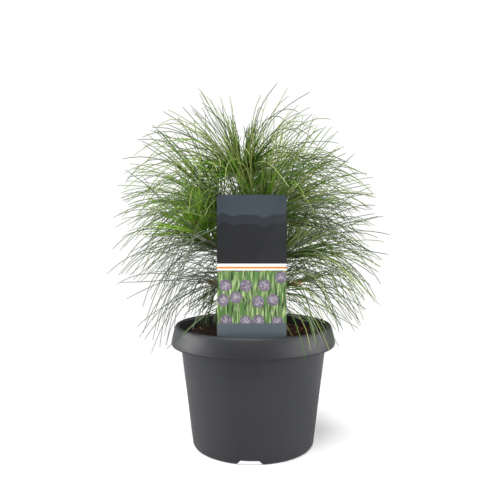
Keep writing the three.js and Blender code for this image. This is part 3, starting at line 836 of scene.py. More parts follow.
def side_shoot(whorl, i):
    bearing = whorl["bearing"] + 360 / whorl["count"] * i
    height = whorl["height"] + whorl["stagger"] * math.cos(2.4 * i + 0.6)
    start = on_curve(trunk_curve, (height - foot[2]) / (tip[2] - foot[2]))[0]
    middle = start + pointing(bearing, whorl["rise"] - whorl["bend"]) * whorl["reach"] / 2
    end = middle + pointing(bearing, whorl["rise"] + whorl["bend"]) * whorl["reach"] / 2
    return {**whorl, "name": f"{whorl['ring']}_{i + 1}", "curve": np.array([start, middle, end]),
            "bare": BOUGH["share"], "bearing": bearing, "half_wedge": 180 / whorl["count"], "spread": (80, 8)}


leader_end = tip + along_curve(trunk_curve, 1.0)[0] * LEADER["reach"]
leader = {**LEADER, "name": "top", "curve": np.array([tip, (tip + leader_end) / 2, leader_end]), "bare": 0,
          "half_wedge": None, "spread": (86, 38)}
side_shoots = [side_shoot(whorl, i) for whorl in WHORLS for i in range(whorl["count"])]
shoots = [leader, *side_shoots]
CANDLES = {"middle_1": 35}  # this year's shoots, in millimetres beyond the end of last year's
CANDLE_RISE = 0.25
for shoot in shoots:
    ahead = along_curve(shoot["curve"], 1.0)[0] + [0, 0, CANDLE_RISE]
    shoot["tip"] = shoot["curve"][2] + ahead / np.linalg.norm(ahead) * CANDLES.get(shoot["name"], 0)
print("shoots:", ", ".join(shoot["name"] for shoot in shoots))

# %% [markdown]
# A limb could be a cylinder bent by hand. A Bezier curve with a round bevel is quicker: it keeps its
# thickness at every bend, and each of its points has a radius, so it tapers as wood does. The quadratic curve
# becomes a cubic one by moving the handles two thirds of the way to its middle point. The curve is then made
# a mesh, and a Displace modifier gives it the bark's relief.

# %% Growing a limb
BEYOND = -0.1  # where the two outer handles stand, as a share of the way to the middle point
TRUNK_SUNK = 2.5  # how far the trunk's foot is in the soil


def grow_limb(name, curve, radius_at, cuts, sides, sunk=0.0):
    """A tapering limb with capped ends. radius_at gives the radius in millimetres at shares of the curve."""
    start, middle, end = [Vector(point * MM) for point in curve]
    start_fresh()
    bpy.ops.curve.primitive_bezier_curve_add(radius=1)
    limb = bpy.context.object
    limb.name = name
    first, last = limb.data.splines[0].bezier_points
    for point in (first, last):
        point.handle_left_type = point.handle_right_type = "FREE"
    first.co, last.co = start, end
    first.handle_right = start.lerp(middle, 2 / 3)
    last.handle_left = end.lerp(middle, 2 / 3)
    first.handle_left = start.lerp(middle, BEYOND)
    last.handle_right = end.lerp(middle, BEYOND)
    bpy.ops.object.mode_set(mode="EDIT")
    bpy.ops.curve.select_all(action="SELECT")
    bpy.ops.curve.subdivide(number_cuts=cuts)
    bpy.ops.object.mode_set(mode="OBJECT")
    points = limb.data.splines[0].bezier_points
    for i, point in enumerate(points):
        point.radius = float(radius_at(i / (len(points) - 1)))
    if sunk:
        points[0].co = points[0].co + (points[0].co - points[1].co).normalized() * sunk * MM
    limb.data.dimensions = "3D"
    limb.data.bevel_depth = MM
    limb.data.bevel_resolution = sides // 2 - 2
    limb.data.resolution_u = 4
    limb.data.use_fill_caps = True
    bpy.ops.object.convert(target="MESH")
    limb = bpy.context.object
    face_outwards(limb)
    return limb


def bough_radius(share):
    return BOUGH["radius"] + (STEM_RADIUS - BOUGH["radius"]) * share


trunk = grow_limb("trunk_bark", trunk_curve, trunk_radius, cuts=27, sides=28, sunk=TRUNK_SUNK)
displace(trunk, "bark_plates", "VORONOI", 5.0, 0.9)
displace(trunk, "bark_grain", "CLOUDS", 1.6, 0.5)
print("trunk faces:", len(trunk.data.polygons))

inner_curves = [split_curve(shoot["curve"], shoot["bare"])[0] for shoot in side_shoots]
boughs = [grow_limb("bough", inner, bough_radius, cuts=6, sides=16) for inner in inner_curves]
bough_piece = join("boughs_bark", boughs)
displace(bough_piece, "bough_plates", "CLOUDS", 2.5, 0.7)

# %% [markdown]
# Young pine bark is grey-brown and matt, with orange-brown in the cracks between its plates. A cell pattern
# of 5 mm gives the plates, finer on the boughs, and a noise gives the lichen-grey bloom on them.

# %% Bark
def bark_finish(name, ridge, crack, bloom, plate):
    """Bark: paler plates of a size in millimetres, warmer cracks and a grey bloom. It hardly shines."""
    finish, tree, shader = new_finish(name, ridge, 0.85, 1.45)
    place = add_node(tree, "TexCoord", output="Object")
    tall = add_node(tree, "Mapping", {"Vector": place, "Scale": (1, 1, 0.45)})
    plates = add_node(
        tree, "TexVoronoi", {"Vector": tall, "Scale": 1 / (plate * MM)}, {"feature": "DISTANCE_TO_EDGE"}
    )
    cracks = add_node(tree, "MapRange", {"Value": plates, "From Max": 0.16})
    mottling = add_node(tree, "TexNoise", {"Vector": place, "Scale": 1 / (2 * MM), "Detail": 6})
    plain = add_node(tree, "Mix", {0: cracks, 6: crack, 7: ridge}, COLOURS, 2)
    grey = add_node(tree, "Mix", {0: mottling, 6: plain, 7: bloom}, COLOURS, 2)
    tree.links.new(grey, shader.inputs["Base Color"])
    relief = add_node(tree, "Bump", {"Height": cracks, "Strength": 0.7, "Distance": 0.4 * MM})
    tree.links.new(relief, shader.inputs["Normal"])
    return finish


bark = bark_finish("young pine bark", "#6d5844", "#8a4f2b", "#7d7468", 5)
bough_bark = bark_finish("thin bough bark", "#75593c", "#8f5a32", "#7f7a5c", 3)
finish_piece(trunk, [bark], ["trunk"])
finish_piece(bough_piece, [bough_bark], [f"bough_{shoot['name']}" for shoot in side_shoots])

# %% [markdown]
# ## Shoots and buds
#
# The outer part of each limb is last year's shoot. It is orange-brown, and rough with the little cushions
# that the needle bundles sit on. It ends in a pointed bud covered in scales, with smaller buds round it. One
# bud is modelled from a sphere: its rings are pulled in by turns, which makes the rows of scales, and its top
# is drawn to a point. The rest are copies.

# %% Shoots
STEM_TAPER = 0.22
CANDLE_RADII = {"foot": 0.78, "taper": 0.2}  # as shares of a shoot's radius
CANDLE_SUNK = 1.5


def stem_radius(share):
    return STEM_RADIUS * (1 - STEM_TAPER * share)


def candle_radius(share):
    return STEM_RADIUS * (CANDLE_RADII["foot"] - CANDLE_RADII["taper"] * share)


stems = []
for shoot in shoots:
    _, outer = split_curve(shoot["curve"], shoot["bare"])
    stems.append(grow_limb("stem", outer, stem_radius, cuts=10, sides=14))
    if shoot["name"] in CANDLES:
        end = shoot["curve"][2]
        candle = np.array([end, (end + shoot["tip"]) / 2, shoot["tip"]])
        stems.append(grow_limb("candle", candle, candle_radius, cuts=6, sides=14, sunk=CANDLE_SUNK))
stem_piece = join("shoot_stems", stems)
displace(stem_piece, "needle_cushions", "VORONOI", 2.2, 0.9)
shoot_bark = bark_finish("year-old shoot bark", "#9a6a3c", "#7a3f22", "#8d7a4c", 2.2)
finish_piece(stem_piece, [shoot_bark])

# %% Buds
BUD = {"radius": 2.5, "length": 10, "pinch": 0.84, "drop": 0.35, "point": 1.5, "seat": 0.4}
# four small buds round each large one: their size, how they point, and how far they sit from its foot
SIDE_BUDS = {"count": 4, "first": 20, "size": 0.55, "along": 0.75, "out": 0.65, "below": 1.5, "beside": 1.2}
NO_SHOOTS_WAY = [0, 1, 0.2]  # a direction that no shoot points in, so that it gives each one a side

start_fresh()
bpy.ops.mesh.primitive_uv_sphere_add(segments=12, ring_count=10, radius=1)
bud = bpy.context.object
bpy.ops.object.mode_set(mode="EDIT")
bpy.ops.transform.resize(value=(BUD["radius"] * MM, BUD["radius"] * MM, BUD["length"] / 2 * MM))
ring_heights = sorted({round(vertex.co.z / MM, 2) for vertex in bud.data.vertices})[1:-1]
for height in ring_heights[1::2]:
    pick(bud, "VERT", lambda spots: abs(spots[0].z / MM - height) < 0.1)
    bpy.ops.transform.resize(value=(BUD["pinch"], BUD["pinch"], 1), center_override=(0, 0, height * MM))
    bpy.ops.transform.translate(value=(0, 0, -BUD["drop"] * MM))
pick(bud, "VERT", lambda spots: spots[0].z / MM > BUD["length"] / 2 - 0.1)
bpy.ops.transform.translate(value=(0, 0, BUD["point"] * MM))
start_fresh()


def place_bud(spot, direction, size):
    """A copy of the bud with its foot at a spot, pointing along a direction."""
    copied = bud.copy()
    copied.data = bud.data.copy()
    turn = Vector(direction).to_track_quat("Z", "Y").to_matrix().to_4x4()
    middle = Vector(spot * MM) + Vector(direction) * BUD["length"] * BUD["seat"] * size * MM
    copied.data.transform(Matrix.Translation(middle) @ turn @ Matrix.Scale(size, 4))
    bpy.context.scene.collection.objects.link(copied)
    return copied


buds = []
for shoot in shoots:
    end = shoot["tip"]
    along = along_curve(shoot["curve"], 1.0)[0]
    side = np.cross(along, NO_SHOOTS_WAY)
    side /= np.linalg.norm(side)
    buds.append(place_bud(end, along, 1.0))
    for i in range(SIDE_BUDS["count"]):
        angle = math.radians(360 / SIDE_BUDS["count"] * i + SIDE_BUDS["first"])
        out = side * math.cos(angle) + np.cross(along, side) * math.sin(angle)
        direction = along * SIDE_BUDS["along"] + out * SIDE_BUDS["out"]
        spot = end - along * SIDE_BUDS["below"] + out * SIDE_BUDS["beside"]
        buds.append(place_bud(spot, direction / np.linalg.norm(direction), SIDE_BUDS["size"]))
bpy.data.objects.remove(bud)
bud_piece = join("shoot_buds", buds)
scale_skin = bark_finish("resinous bud scales", "#8c5a3a", "#5f2f1c", "#b98a63", 1.6)
finish_piece(bud_piece, [scale_skin])

# %% [markdown]
# ## Needles
#
# A Bhutan pine's needles are 11 to 18 cm long, a millimetre thick, and grow in bundles of five from a short
# papery sheath. They spring out all round the shoot and droop under their own weight. There are thousands, so
# they are made in code, as arrays of points.
#
# The needles keep to their room: the crown's ball and their own shoot's part of it, clear of the pot, the
# label and the trunk. The leader's needles also part into two sprays with a gap between them.

# %% Room for needles
CROWN_BALL = {"radius": 173, "height": 248}
CROWN_MIDDLE = np.array([*CROWN_AXIS, CROWN_BALL["height"]])
LOWEST_NEEDLE = 108
LABEL_ROOM = 2.5
POT_ROOM = 3
TRUNK_ROOM = 1
LOOSE = 24  # how far needles may cross into the next shoot's space, as real ones do
PARTING = {"middle": -9.6, "height": 358, "slope": 0.46}  # the gap widens upwards from its height


def above_cone(points, cone):
    out = np.linalg.norm(points[..., :2] - CROWN_AXIS, axis=-1)
    return points[..., 2] + MEAN_SAG * out**2 - cone[0] - cone[1] * out


def clear_of_pot(points):
    """Whether each point is clear of the label, of the room in front of it, and of the pot and the soil."""
    x, y, z = points[..., 0], points[..., 1], points[..., 2]
    beside = np.abs(x - card_middle.x) > card_size.x / 2 + LABEL_ROOM
    behind = y > label_high.y / MM + LABEL_ROOM
    over = z > label_high.z / MM + LABEL_ROOM
    out = np.hypot(x, y)
    outside = (z > POT_HEIGHT + POT_ROOM) | (out > COLLAR["low"] + POT_ROOM)
    inside = (out < POT["mouth"] - POT_ROOM) & (z > SOIL_TOP + POT_ROOM)
    return (beside | behind | over) & (z > LOWEST_NEEDLE) & (outside | inside)


def clear_of_parting(points):
    over = points[..., 2] - PARTING["height"]
    return (over < 0) | (np.abs(points[..., 0] - PARTING["middle"]) > PARTING["slope"] * over)


def in_space(shoot, points):
    """Whether each point is in the crown's ball and near enough to the space of its own shoot."""
    fits = np.linalg.norm(points - CROWN_MIDDLE, axis=-1) < CROWN_BALL["radius"]
    if shoot["over"]:
        fits &= above_cone(points, shoot["over"]) > -LOOSE
    if shoot["under"]:
        fits &= above_cone(points, shoot["under"]) < LOOSE
    if shoot["half_wedge"]:
        for side in (-1, 1):
            edge = pointing(shoot["bearing"] + side * shoot["half_wedge"])
            inward = edge[1] * (points[..., 0] - CROWN_AXIS[0]) - edge[0] * (points[..., 1] - CROWN_AXIS[1])
            fits &= side * inward > -LOOSE
    return fits


def clear_of_trunk(points):
    share = np.clip((points[..., 2] - foot[2]) / (tip[2] - foot[2]), 0, 1)
    axis = on_curve(trunk_curve, share.ravel())[:, :2].reshape(*share.shape, 2)
    out = np.linalg.norm(points[..., :2] - axis, axis=-1)
    return (points[..., 2] > tip[2]) | (out > trunk_radius(share) + TRUNK_ROOM)


print("the crown's middle, in mm:", CROWN_MIDDLE)

# %% [markdown]
# The rule of growth is the source's own. Two number sequences that fill a square evenly place the bundles
# along and round each shoot, and a seeded generator gives each one its spread, its length and its sag. A
# needle in the source stands for a whole bundle. Here every bundle gets its five needles, and each shoot
# takes as many of the rule's bundles as its part of the photograph shows.

# %% The rule of growth
SAG = (0.0014, 0.0044)
CLOTHED = (0.06, 0.97)  # the part of a shoot that carries bundles
NEEDLE_VARY = 0.2
SPREAD_VARY = 8
EVEN_STEPS = (0.7548776662466927, 0.5698402909980532)  # along and round the shoot, which they fill evenly
TRIES = 14
TRIED_SHARES = np.linspace(0.08, 1, 24)  # the places along a needle that have to be in its room
SEED = {"first": 101, "step": 41}
BUNDLES = {"top": 42, "upper": 29, "middle": 12, "lower": 8, "upper_2": 32, "upper_3": 26, "middle_1": 8,
           "middle_2": 14, "lower_2": 26, "lower_4": 16}
LOWEST_AIM = {"top": -1, "upper": -0.5, "middle": -0.12, "lower": -0.05}  # how far down a bundle may set out


def by_rule(table, shoot):
    """A table's value for this very shoot, or else for its ring."""
    return table.get(shoot["name"], table[shoot["ring"]])


def seeded_values(seed, count):
    """The source's seeded generator: each value is worked out from the last."""
    values = np.empty(count)
    state = seed
    for i in range(count):
        state = (1664525 * state + 1013904223) % 4294967296
        values[i] = state / 4294967296
    return values


def sagging(roots, directions, lengths, sags, shares):
    """Points along needles: straight at the root, with a drop that grows as the level run squared."""
    run = lengths[:, None] * shares[None, :]
    points = roots[:, None, :] + directions[:, None, :] * run[:, :, None]
    level = np.hypot(directions[:, 0], directions[:, 1])
    points[:, :, 2] -= sags[:, None] * (level[:, None] * run) ** 2
    return points


def grow_bundles(shoot, seed):
    """The roots, directions, lengths and sags of a shoot's bundles."""
    i = np.arange(shoot["needles"] * TRIES)
    draws = seeded_values(seed, 3 * len(i)).reshape(-1, 3)
    share = CLOTHED[0] + (CLOTHED[1] - CLOTHED[0]) * ((0.5 + i * EVEN_STEPS[0]) % 1)
    turn = ((0.5 + i * EVEN_STEPS[1]) % 1) * 2 * math.pi
    low, high = shoot["spread"]
    spread = np.radians(low + (high - low) * share + SPREAD_VARY * (2 * draws[:, 0] - 1))
    on_shoot = shoot["bare"] + (1 - shoot["bare"]) * share
    roots = on_curve(shoot["curve"], on_shoot)
    along = along_curve(shoot["curve"], on_shoot)
    side = np.stack([-along[:, 1], along[:, 0], np.zeros(len(i))], axis=1)
    side /= np.linalg.norm(side, axis=1, keepdims=True)
    lift = np.cross(side, along)
    directions = along * np.cos(spread)[:, None]
    directions += side * (np.sin(spread) * np.cos(turn))[:, None]
    directions += lift * (np.sin(spread) * np.sin(turn))[:, None]
    lengths = shoot["needle_length"] * (1 + NEEDLE_VARY * (2 * draws[:, 1] - 1))
    sags = SAG[0] + (SAG[1] - SAG[0]) * draws[:, 2]
    points = sagging(roots, directions, lengths, sags, TRIED_SHARES)
    fits = (in_space(shoot, points) & clear_of_pot(points) & clear_of_trunk(points)).all(axis=1)
    fits &= directions[:, 2] > LOWEST_AIM[shoot["ring"]]
    kept = np.flatnonzero(fits)[: by_rule(BUNDLES, shoot)]
    return roots[kept], directions[kept], lengths[kept], sags[kept]


bundles = {
    shoot["name"]: grow_bundles(shoot, SEED["first"] + SEED["step"] * i) for i, shoot in enumerate(shoots)
}
print("bundles:", {name: len(found[0]) for name, found in bundles.items()})

# %% [markdown]
# This year's growth stands at the end of each shoot, as a tuft of shorter, fresher needles that point along
# the shoot and a little upwards. The tufts make the bright, dense patches in the crown. The shoot at the
# front left has already grown on by 35 mm and carries the largest tuft but the leader's. The low ones on the
# left and in front hang theirs over the pot's mouth.

# %% Tufts of fresh growth
TUFTS = {"top": 55, "upper": 14, "middle": 10, "lower": 2, "middle_1": 50, "upper_2": 26, "lower_1": 10,
         "lower_2": 16, "lower_4": 12}
TUFT_LENGTH = {"usual": (32, 66), "lower_1": (30, 48)}  # the needles that hang over the soil end above it
TUFT_AIM = {"top": (0.3, 0.2), "upper": (0.7, 0.4), "middle": (0.7, 0.4), "lower": (0.7, 0.1),
            "middle_1": (0.35, 0.45), "lower_1": (0.3, -0.8), "lower_2": (0.4, -0.5)}  # onwards, and upwards
# where on its shoot a tuft starts, how much its aims scatter, and its sag as a share of the least
TUFT = {"from": 0.8, "scatter": 0.5, "sag": 0.4, "seed": 500}


def grow_tuft(shoot, dice):
    """A tuft's bundles, in the same form as the others."""
    count = by_rule(TUFTS, shoot)
    start = on_curve(shoot["curve"], TUFT["from"])[0]
    curve = np.array([start, shoot["curve"][2], shoot["tip"]])
    share = dice.random(count)
    roots = on_curve(curve, share)
    along = along_curve(shoot["curve"], np.ones(count))
    onward, upward = by_rule(TUFT_AIM, shoot)
    aims = along * onward + np.array([0, 0, upward]) + dice.normal(0, TUFT["scatter"], (count, 3))
    if upward > 0:
        aims[:, 2] = np.maximum(aims[:, 2], 0)
    aims /= np.linalg.norm(aims, axis=1, keepdims=True)
    shortest, longest = TUFT_LENGTH.get(shoot["name"], TUFT_LENGTH["usual"])
    return roots, aims, dice.uniform(shortest, longest, count), np.full(count, TUFT["sag"] * SAG[0])


tufts = {
    shoot["name"]: grow_tuft(shoot, np.random.default_rng(TUFT["seed"] + i)) for i, shoot in enumerate(shoots)
}
print("tufts:", {name: len(found[0]) for name, found in tufts.items()})

# %% [markdown]
# The high needles are young and stiff, and the low ones are old and hang, so each ring of shoots has its own
# droop. A needle is followed for its true length, stiff at its root and limp at its tip, so that a long one
# ends up hanging.

# %% How a needle hangs
HANG_STEPS = 100


def hanging(roots, directions, lengths, sags, shares, limp):
    """The same curve as sagging, followed for a needle's true length, so that a limp needle hangs down."""
    level = np.maximum(np.hypot(directions[:, 0], directions[:, 1]), 1e-3)
    heading, slope = directions[:, :2] / level[:, None], directions[:, 2] / level
    run, rise = np.zeros(len(roots)), np.zeros(len(roots))
    runs, rises = [run], [rise]
    for i in range(HANG_STEPS):
        softness = limp[0] + (limp[1] - limp[0]) * i / HANG_STEPS
        tangent = slope - 2 * sags * softness * run
        step = lengths / HANG_STEPS / np.sqrt(1 + tangent**2)
        run, rise = run + step, rise + tangent * step
        runs.append(run)
        rises.append(rise)
    at = np.round(shares * HANG_STEPS).astype(int)
    run, rise = np.array(runs)[at].T, np.array(rises)[at].T
    level_places = roots[:, None, :2] + heading[:, None] * run[..., None]
    return np.concatenate([level_places, (roots[:, 2:] + rise)[..., None]], axis=2)


print("steps along a needle:", HANG_STEPS)

# %% [markdown]
# Each bundle is opened into five needles. They leave the sheath a few degrees apart, and each has its own
# sag, a slight bow to one side and a faint wave near its tip, so that no two run parallel. Some of the older
# bundles stray far from the rule's line, as they do in a real crown. This year's needles are stiff and nearly
# straight.

# %% How needles differ
NEEDLES_IN_BUNDLE = 5
NEEDLE_SHARES = np.array([0.01, 0.06, 0.15, 0.25, 0.35, 0.45, 0.55, 0.65, 0.75, 0.85, 0.93, 0.98])
STRETCH = {"top": 1.1, "upper": 1.08, "middle": 1.28, "lower": 1.36}
DROOP = {"top": (1.0, 0.4), "upper": (1.3, 0.6), "middle": (1.2, 0.8), "lower": (1.3, 0.9),  # middle, spread
         "upper_3": (0.9, 0.5), "middle_2": (1.2, 0.6), "middle_3": (1.1, 0.6), "lower_3": (1.5, 0.7)}
LIMP = {"top": (0.1, 1.9), "upper": (0.1, 1.9), "middle": (0.0, 2.7), "lower": (0.0, 3.0),  # at root and tip
        "middle_2": (0.1, 1.9), "middle_3": (0.1, 1.9), "lower_3": (0.1, 1.9)}
SOFTNESS = {"open": 1.0, "fresh": 0.3}  # how much of its sag a needle of each age has
SPLAY = {"open": 8.0, "fresh": 1.8}  # degrees between a needle and its bundle's own line
STRAYS = {"open": 0.28, "fresh": 0.0}  # the share of bundles that lean far
TILT = (13.0, 40.0)  # degrees that a bundle leans from where the rule puts it: most of them, and the strays
BOW = {"open": 17.0, "fresh": 5.0}  # millimetres that a needle's tip strays from a straight line
ARCH = 0.6  # how much of the bow is upwards or downwards
RIPPLE = {"turns": 2.3, "height": (0.5, 4.0), "upward": 0.7}  # half turns along a needle, and millimetres
# how needles differ from one another, as shares of the rule's values, and in radians for the turn
VARY = {"splay": (0.3, 2.2), "length": (0.88, 1.02), "trim": (0.9, 1.04), "turn": 0.3}
FULL_TURN = 6.28  # in radians
NO_NEEDLES_WAY = [0.0, 0.3, 1.0]  # a direction that hardly any needle points in, which gives each one a side
OUTLINE = {"radius": 168, "shoulder": 15}


def share_of_reach(points):
    """How far out points are, as a share of the crown's outline: a ball with its shoulders cut back."""
    from_middle = points - CROWN_MIDDLE
    out, up = np.linalg.norm(from_middle[:, :2], axis=1), from_middle[:, 2]
    distance = np.hypot(out, up)
    shoulder = np.clip(2 * out * up / distance**2, 0, 1)
    return distance / (OUTLINE["radius"] - OUTLINE["shoulder"] * shoulder)


print("points along a needle:", len(NEEDLE_SHARES))

# %% Opening the bundles
def for_each_needle(values):
    return np.repeat(values, NEEDLES_IN_BUNDLE, axis=0)


def open_bundles(shoot, roots, directions, lengths, sags, age, dice):
    """The centre lines of the five needles of every bundle."""
    count = len(roots)
    total = count * NEEDLES_IN_BUNDLE
    roots, directions, lengths, sags = map(for_each_needle, (roots, directions, lengths, sags))
    side = np.cross(directions, NO_NEEDLES_WAY)
    side /= np.linalg.norm(side, axis=1, keepdims=True)
    lift = np.cross(side, directions)
    turn = np.tile(np.arange(NEEDLES_IN_BUNDLE) * 2 * math.pi / NEEDLES_IN_BUNDLE, count)
    turn = turn + for_each_needle(dice.random(count) * FULL_TURN) + dice.normal(0, VARY["turn"], total)
    splay = np.radians(SPLAY[age] * dice.uniform(*VARY["splay"], total))
    across = side * np.cos(turn)[:, None] + lift * np.sin(turn)[:, None]
    tilt = np.where(dice.random(count) < STRAYS[age], TILT[1], TILT[0])[:, None]
    lean = for_each_needle(np.radians(dice.normal(0, 1, (count, 2)) * tilt))
    leant = lean[:, :1] * side + lean[:, 1:] * lift
    directions = directions * np.cos(splay)[:, None] + across * np.sin(splay)[:, None] + leant
    directions /= np.linalg.norm(directions, axis=1, keepdims=True)
    lengths = lengths * dice.uniform(*VARY["length"], total) * STRETCH[shoot["ring"]]
    droop, vary = by_rule(DROOP, shoot)
    sags = sags * SOFTNESS[age] * droop * np.exp(dice.normal(0, SOFTNESS[age] * vary, total))
    limp = by_rule(LIMP, shoot)
    tips = hanging(roots, directions, lengths, sags, np.array([1.0]), limp)[:, 0]
    lengths = lengths * np.minimum(1, dice.uniform(*VARY["trim"], total) / share_of_reach(tips))
    points = hanging(roots, directions, lengths, sags, NEEDLE_SHARES, limp)
    bow = dice.normal(0, BOW[age], total)[:, None] * NEEDLE_SHARES[None, :] ** 2
    arch = dice.normal(0, ARCH * BOW[age], total)[:, None] * NEEDLE_SHARES[None, :] ** 2
    phase = dice.random(total)[:, None] * 2 * math.pi
    ripple = np.sin(RIPPLE["turns"] * math.pi * NEEDLE_SHARES[None, :] + phase) - np.sin(phase)
    ripple = ripple * dice.uniform(*RIPPLE["height"], total)[:, None] * NEEDLE_SHARES[None, :]
    points += side[:, None, :] * (bow + ripple)[:, :, None]
    points += lift[:, None, :] * (arch + RIPPLE["upward"] * np.roll(ripple, total // 2, axis=0))[:, :, None]
    return points


print("bundles to open:", sum(len(found[0]) for found in bundles.values()))

# %% [markdown]
# A needle has three sides, as the real one has in section, and tapers to its tip. It is 1 mm thick, a little
# more than life, so that it shows from here. All the needles of a shoot are one mesh.

# %% Needles' skins
NEEDLE_RADII = np.array([0.42, 0.49, 0.52, 0.52, 0.52, 0.51, 0.50, 0.48, 0.46, 0.42, 0.38, 0.28])
SIDES = 3
POINTED = np.array([-0.5, 0.8])  # how far the two ends are drawn out past the first ring and the last


def shell_piece(name, lines, radii, shades):
    """One mesh of closed shells round centre lines, with a material number for each shell."""
    count, rings = lines.shape[:2]
    tangents = np.gradient(lines, axis=1)
    tangents /= np.linalg.norm(tangents, axis=2, keepdims=True)
    level = np.cross(tangents, [0.0, 0.0, 1.0])
    level /= np.maximum(np.linalg.norm(level, axis=2, keepdims=True), 1e-6)
    upward = np.cross(tangents, level)
    sides = np.arange(SIDES)
    angles = sides * 2 * math.pi / SIDES
    across = level[:, :, None, :] * np.cos(angles)[:, None] + upward[:, :, None, :] * np.sin(angles)[:, None]
    shell = lines[:, :, None, :] + across * radii[None, :, None, None]
    ends = lines[:, [0, -1]] + tangents[:, [0, -1]] * POINTED[None, :, None]
    points = np.concatenate([shell.reshape(count, -1, 3), ends], axis=1)

    following = (sides + 1) % SIDES
    root_end, last = np.full(SIDES, rings * SIDES), (rings - 1) * SIDES
    first = np.arange(rings - 1)[:, None] * SIDES
    here, beside = first + sides, first + following
    walls = np.stack([here, beside, beside + SIDES, here + SIDES], axis=-1).reshape(-1, 4)
    root_cap = np.stack([following, sides, root_end], axis=-1)
    tip_cap = np.stack([last + sides, last + following, root_end + 1], axis=-1)
    offsets = np.arange(count)[:, None, None] * points.shape[1]
    quads, triangles = walls[None] + offsets, np.concatenate([root_cap, tip_cap])[None] + offsets
    return mesh_from_arrays(
        name, points.reshape(-1, 3), [quads.reshape(-1, 4), triangles.reshape(-1, 3)],
        np.concatenate([np.repeat(shades, faces.shape[1]) for faces in (quads, triangles)]),
    )


print("sides of a needle:", SIDES)

# %% [markdown]
# A needle's skin is a thick wax over green, so it has a mild sheen. The colour changes with the height that a
# bundle reaches: the high ones are olive and leaf green, and the low ones have the blue-grey bloom that the
# species is known for, apart from the right side, which stays green. This year's needles are fresh, lush and
# mossy greens, brightest at the front left. Foliage this fine takes no pattern, so each bundle simply gets
# one of seven plain greens.

# %% Needle colours
GREENS = {
    "fresh": "#7ba12c",
    "lush": "#6c9726",
    "moss": "#3f620a",
    "leaf": "#8d9f5a",
    "deep": "#4e6331",
    "grey": "#707a67",
    "olive": "#949c54",
}
needle_finishes = [
    new_finish(f"waxy pine needle, {shade}", colour, roughness=0.48, ior=1.45)[0]
    for shade, colour in GREENS.items()
]

# the share of each green, in the order above: for the bundles that reach below the first height, up to the
# second, and above it, and then for those below the first that are on the green side
LEVELS = [248, 290]
DEALING = np.array([
    (0.00, 0.00, 0.04, 0.04, 0.10, 0.82, 0.00),
    (0.00, 0.06, 0.20, 0.15, 0.24, 0.32, 0.03),
    (0.01, 0.10, 0.17, 0.27, 0.15, 0.16, 0.14),
    (0.00, 0.04, 0.24, 0.14, 0.34, 0.20, 0.04),
])
GREEN_SIDE = {"from": 15, "row": 3}  # low needles are grey, apart from those farther to the right than this

# the same for the tufts, by the row that each shoot or ring takes
FRESH_ROWS = {"middle_1": 0, "middle": 1, "upper": 1, "lower": 2, "top": 3}
FRESH_DEALING = np.array([
    (0.40, 0.42, 0.10, 0.05, 0.03, 0.0, 0.0),
    (0.02, 0.22, 0.44, 0.08, 0.24, 0.0, 0.0),
    (0.00, 0.08, 0.16, 0.28, 0.18, 0.20, 0.1),
    (0.04, 0.40, 0.26, 0.14, 0.16, 0.0, 0.0),
])


def deal_greens(dealing, rows, dice):
    """A green's number for each bundle, drawn from its row of the shares."""
    return (dice.random(len(rows))[:, None] > np.cumsum(dealing[rows], axis=1)[:, :-1]).sum(axis=1)


print("greens:", ", ".join(GREENS))

# %% [markdown]
# Now each shoot gets its needles. Its bundles and its tuft are opened, each bundle gets its green, and a
# needle that strays into the pot, into the parting or past the crown is left out.

# %% Needles of every shoot
NEEDLE_SEED = 1000
REACH_AT = 8  # the ring of a needle, three quarters of the way along, whose place picks its greens
FREE_FROM = 2  # the ring of a needle from which it has to be clear of all else
BALL_ROOM = 3  # millimetres that a needle may pass the crown's ball
TIP_ROOM = np.array([4.5, 4.5, 8])  # and the CAD model's box
reach_low = np.array(cad_box[0]) / MM - TIP_ROOM
reach_high = np.array(cad_box[1]) / MM + TIP_ROOM


def rows_by_place(places):
    """The row of the greens' shares for each bundle, by the place that it reaches."""
    rows = np.digitize(places[:, 2], LEVELS)
    return np.where((rows == 0) & (places[:, 0] > GREEN_SIDE["from"]), GREEN_SIDE["row"], rows)


def has_room(lines):
    """Whether each needle is clear of the pot and of the parting, and within the crown and the box."""
    free = lines[:, FREE_FROM:]
    clear = (clear_of_pot(free) & clear_of_parting(free)).all(axis=1)
    clear &= (np.linalg.norm(lines - CROWN_MIDDLE, axis=2) < CROWN_BALL["radius"] + BALL_ROOM).all(axis=1)
    return clear & ((lines > reach_low) & (lines < reach_high)).all(axis=(1, 2))


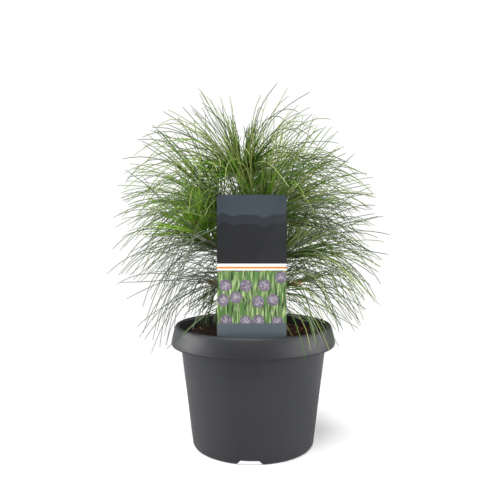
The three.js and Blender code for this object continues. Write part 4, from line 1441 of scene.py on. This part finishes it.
total_needles = 0
for i, shoot in enumerate(shoots):
    name, dice = shoot["name"], np.random.default_rng(NEEDLE_SEED + i)
    sprays = []
    for found, age, dealing in ((bundles[name], "open", DEALING), (tufts[name], "fresh", FRESH_DEALING)):
        lines = open_bundles(shoot, *found, age, dice)
        reached = lines[:, REACH_AT].reshape(-1, NEEDLES_IN_BUNDLE, 3).mean(axis=1)
        rows = rows_by_place(reached) if age == "open" else np.full(len(reached), by_rule(FRESH_ROWS, shoot))
        shades = for_each_needle(deal_greens(dealing, rows, dice))
        kept = has_room(lines)
        sprays.append((lines[kept], shades[kept]))
    lines, shades = (np.concatenate(parts) for parts in zip(*sprays))
    spray = shell_piece(f"needles_on_{name}", lines, NEEDLE_RADII, shades)
    finish_piece(spray, needle_finishes, [f"needles_{name}"])
    total_needles += len(lines)
print("needles:", total_needles)

# %% [markdown]
# The sheaths are short papery sleeves at the foot of each bundle. They are the same three-sided shells, only
# shorter and wider, and they hide the place where five needles leave one point. Dry paper doesn't shine, and
# its browns are blotched.

# %% Sheaths
SHEATH = {"length": 7.0, "off": 1.5}  # off is how far its foot stands from the shoot's middle line
SHEATH_SHARES = np.array([0.0, 0.25, 0.6, 1.0])
SHEATH_RADII = np.array([0.9, 1.25, 1.15, 0.8])

sleeves = []
for roots, directions, lengths, sags in bundles.values():
    short = np.full(len(lengths), SHEATH["length"])
    sleeves.append(sagging(roots + directions * SHEATH["off"], directions, short, sags, SHEATH_SHARES))
sleeves = np.concatenate(sleeves)
sheaths = shell_piece("needle_sheaths", sleeves, SHEATH_RADII, np.zeros(len(sleeves), int))
sheath_skin = mottled_finish("papery needle sheath", "#5f4830", "#94794f", 4, 0.8)
finish_piece(sheaths, [sheath_skin])

# %% [markdown]
# ## Measuring
#
# The visual model's box is measured, and the print gives how far it reaches past the CAD model's box,
# in millimetres. The visual model has to stay in the CAD model's box.

# %% Boxes
look_box = [list(corner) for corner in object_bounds()]
growth = (np.array(look_box) - np.array(cad_box)) / MM
print("box grew by, in mm:", growth.round(1).tolist())
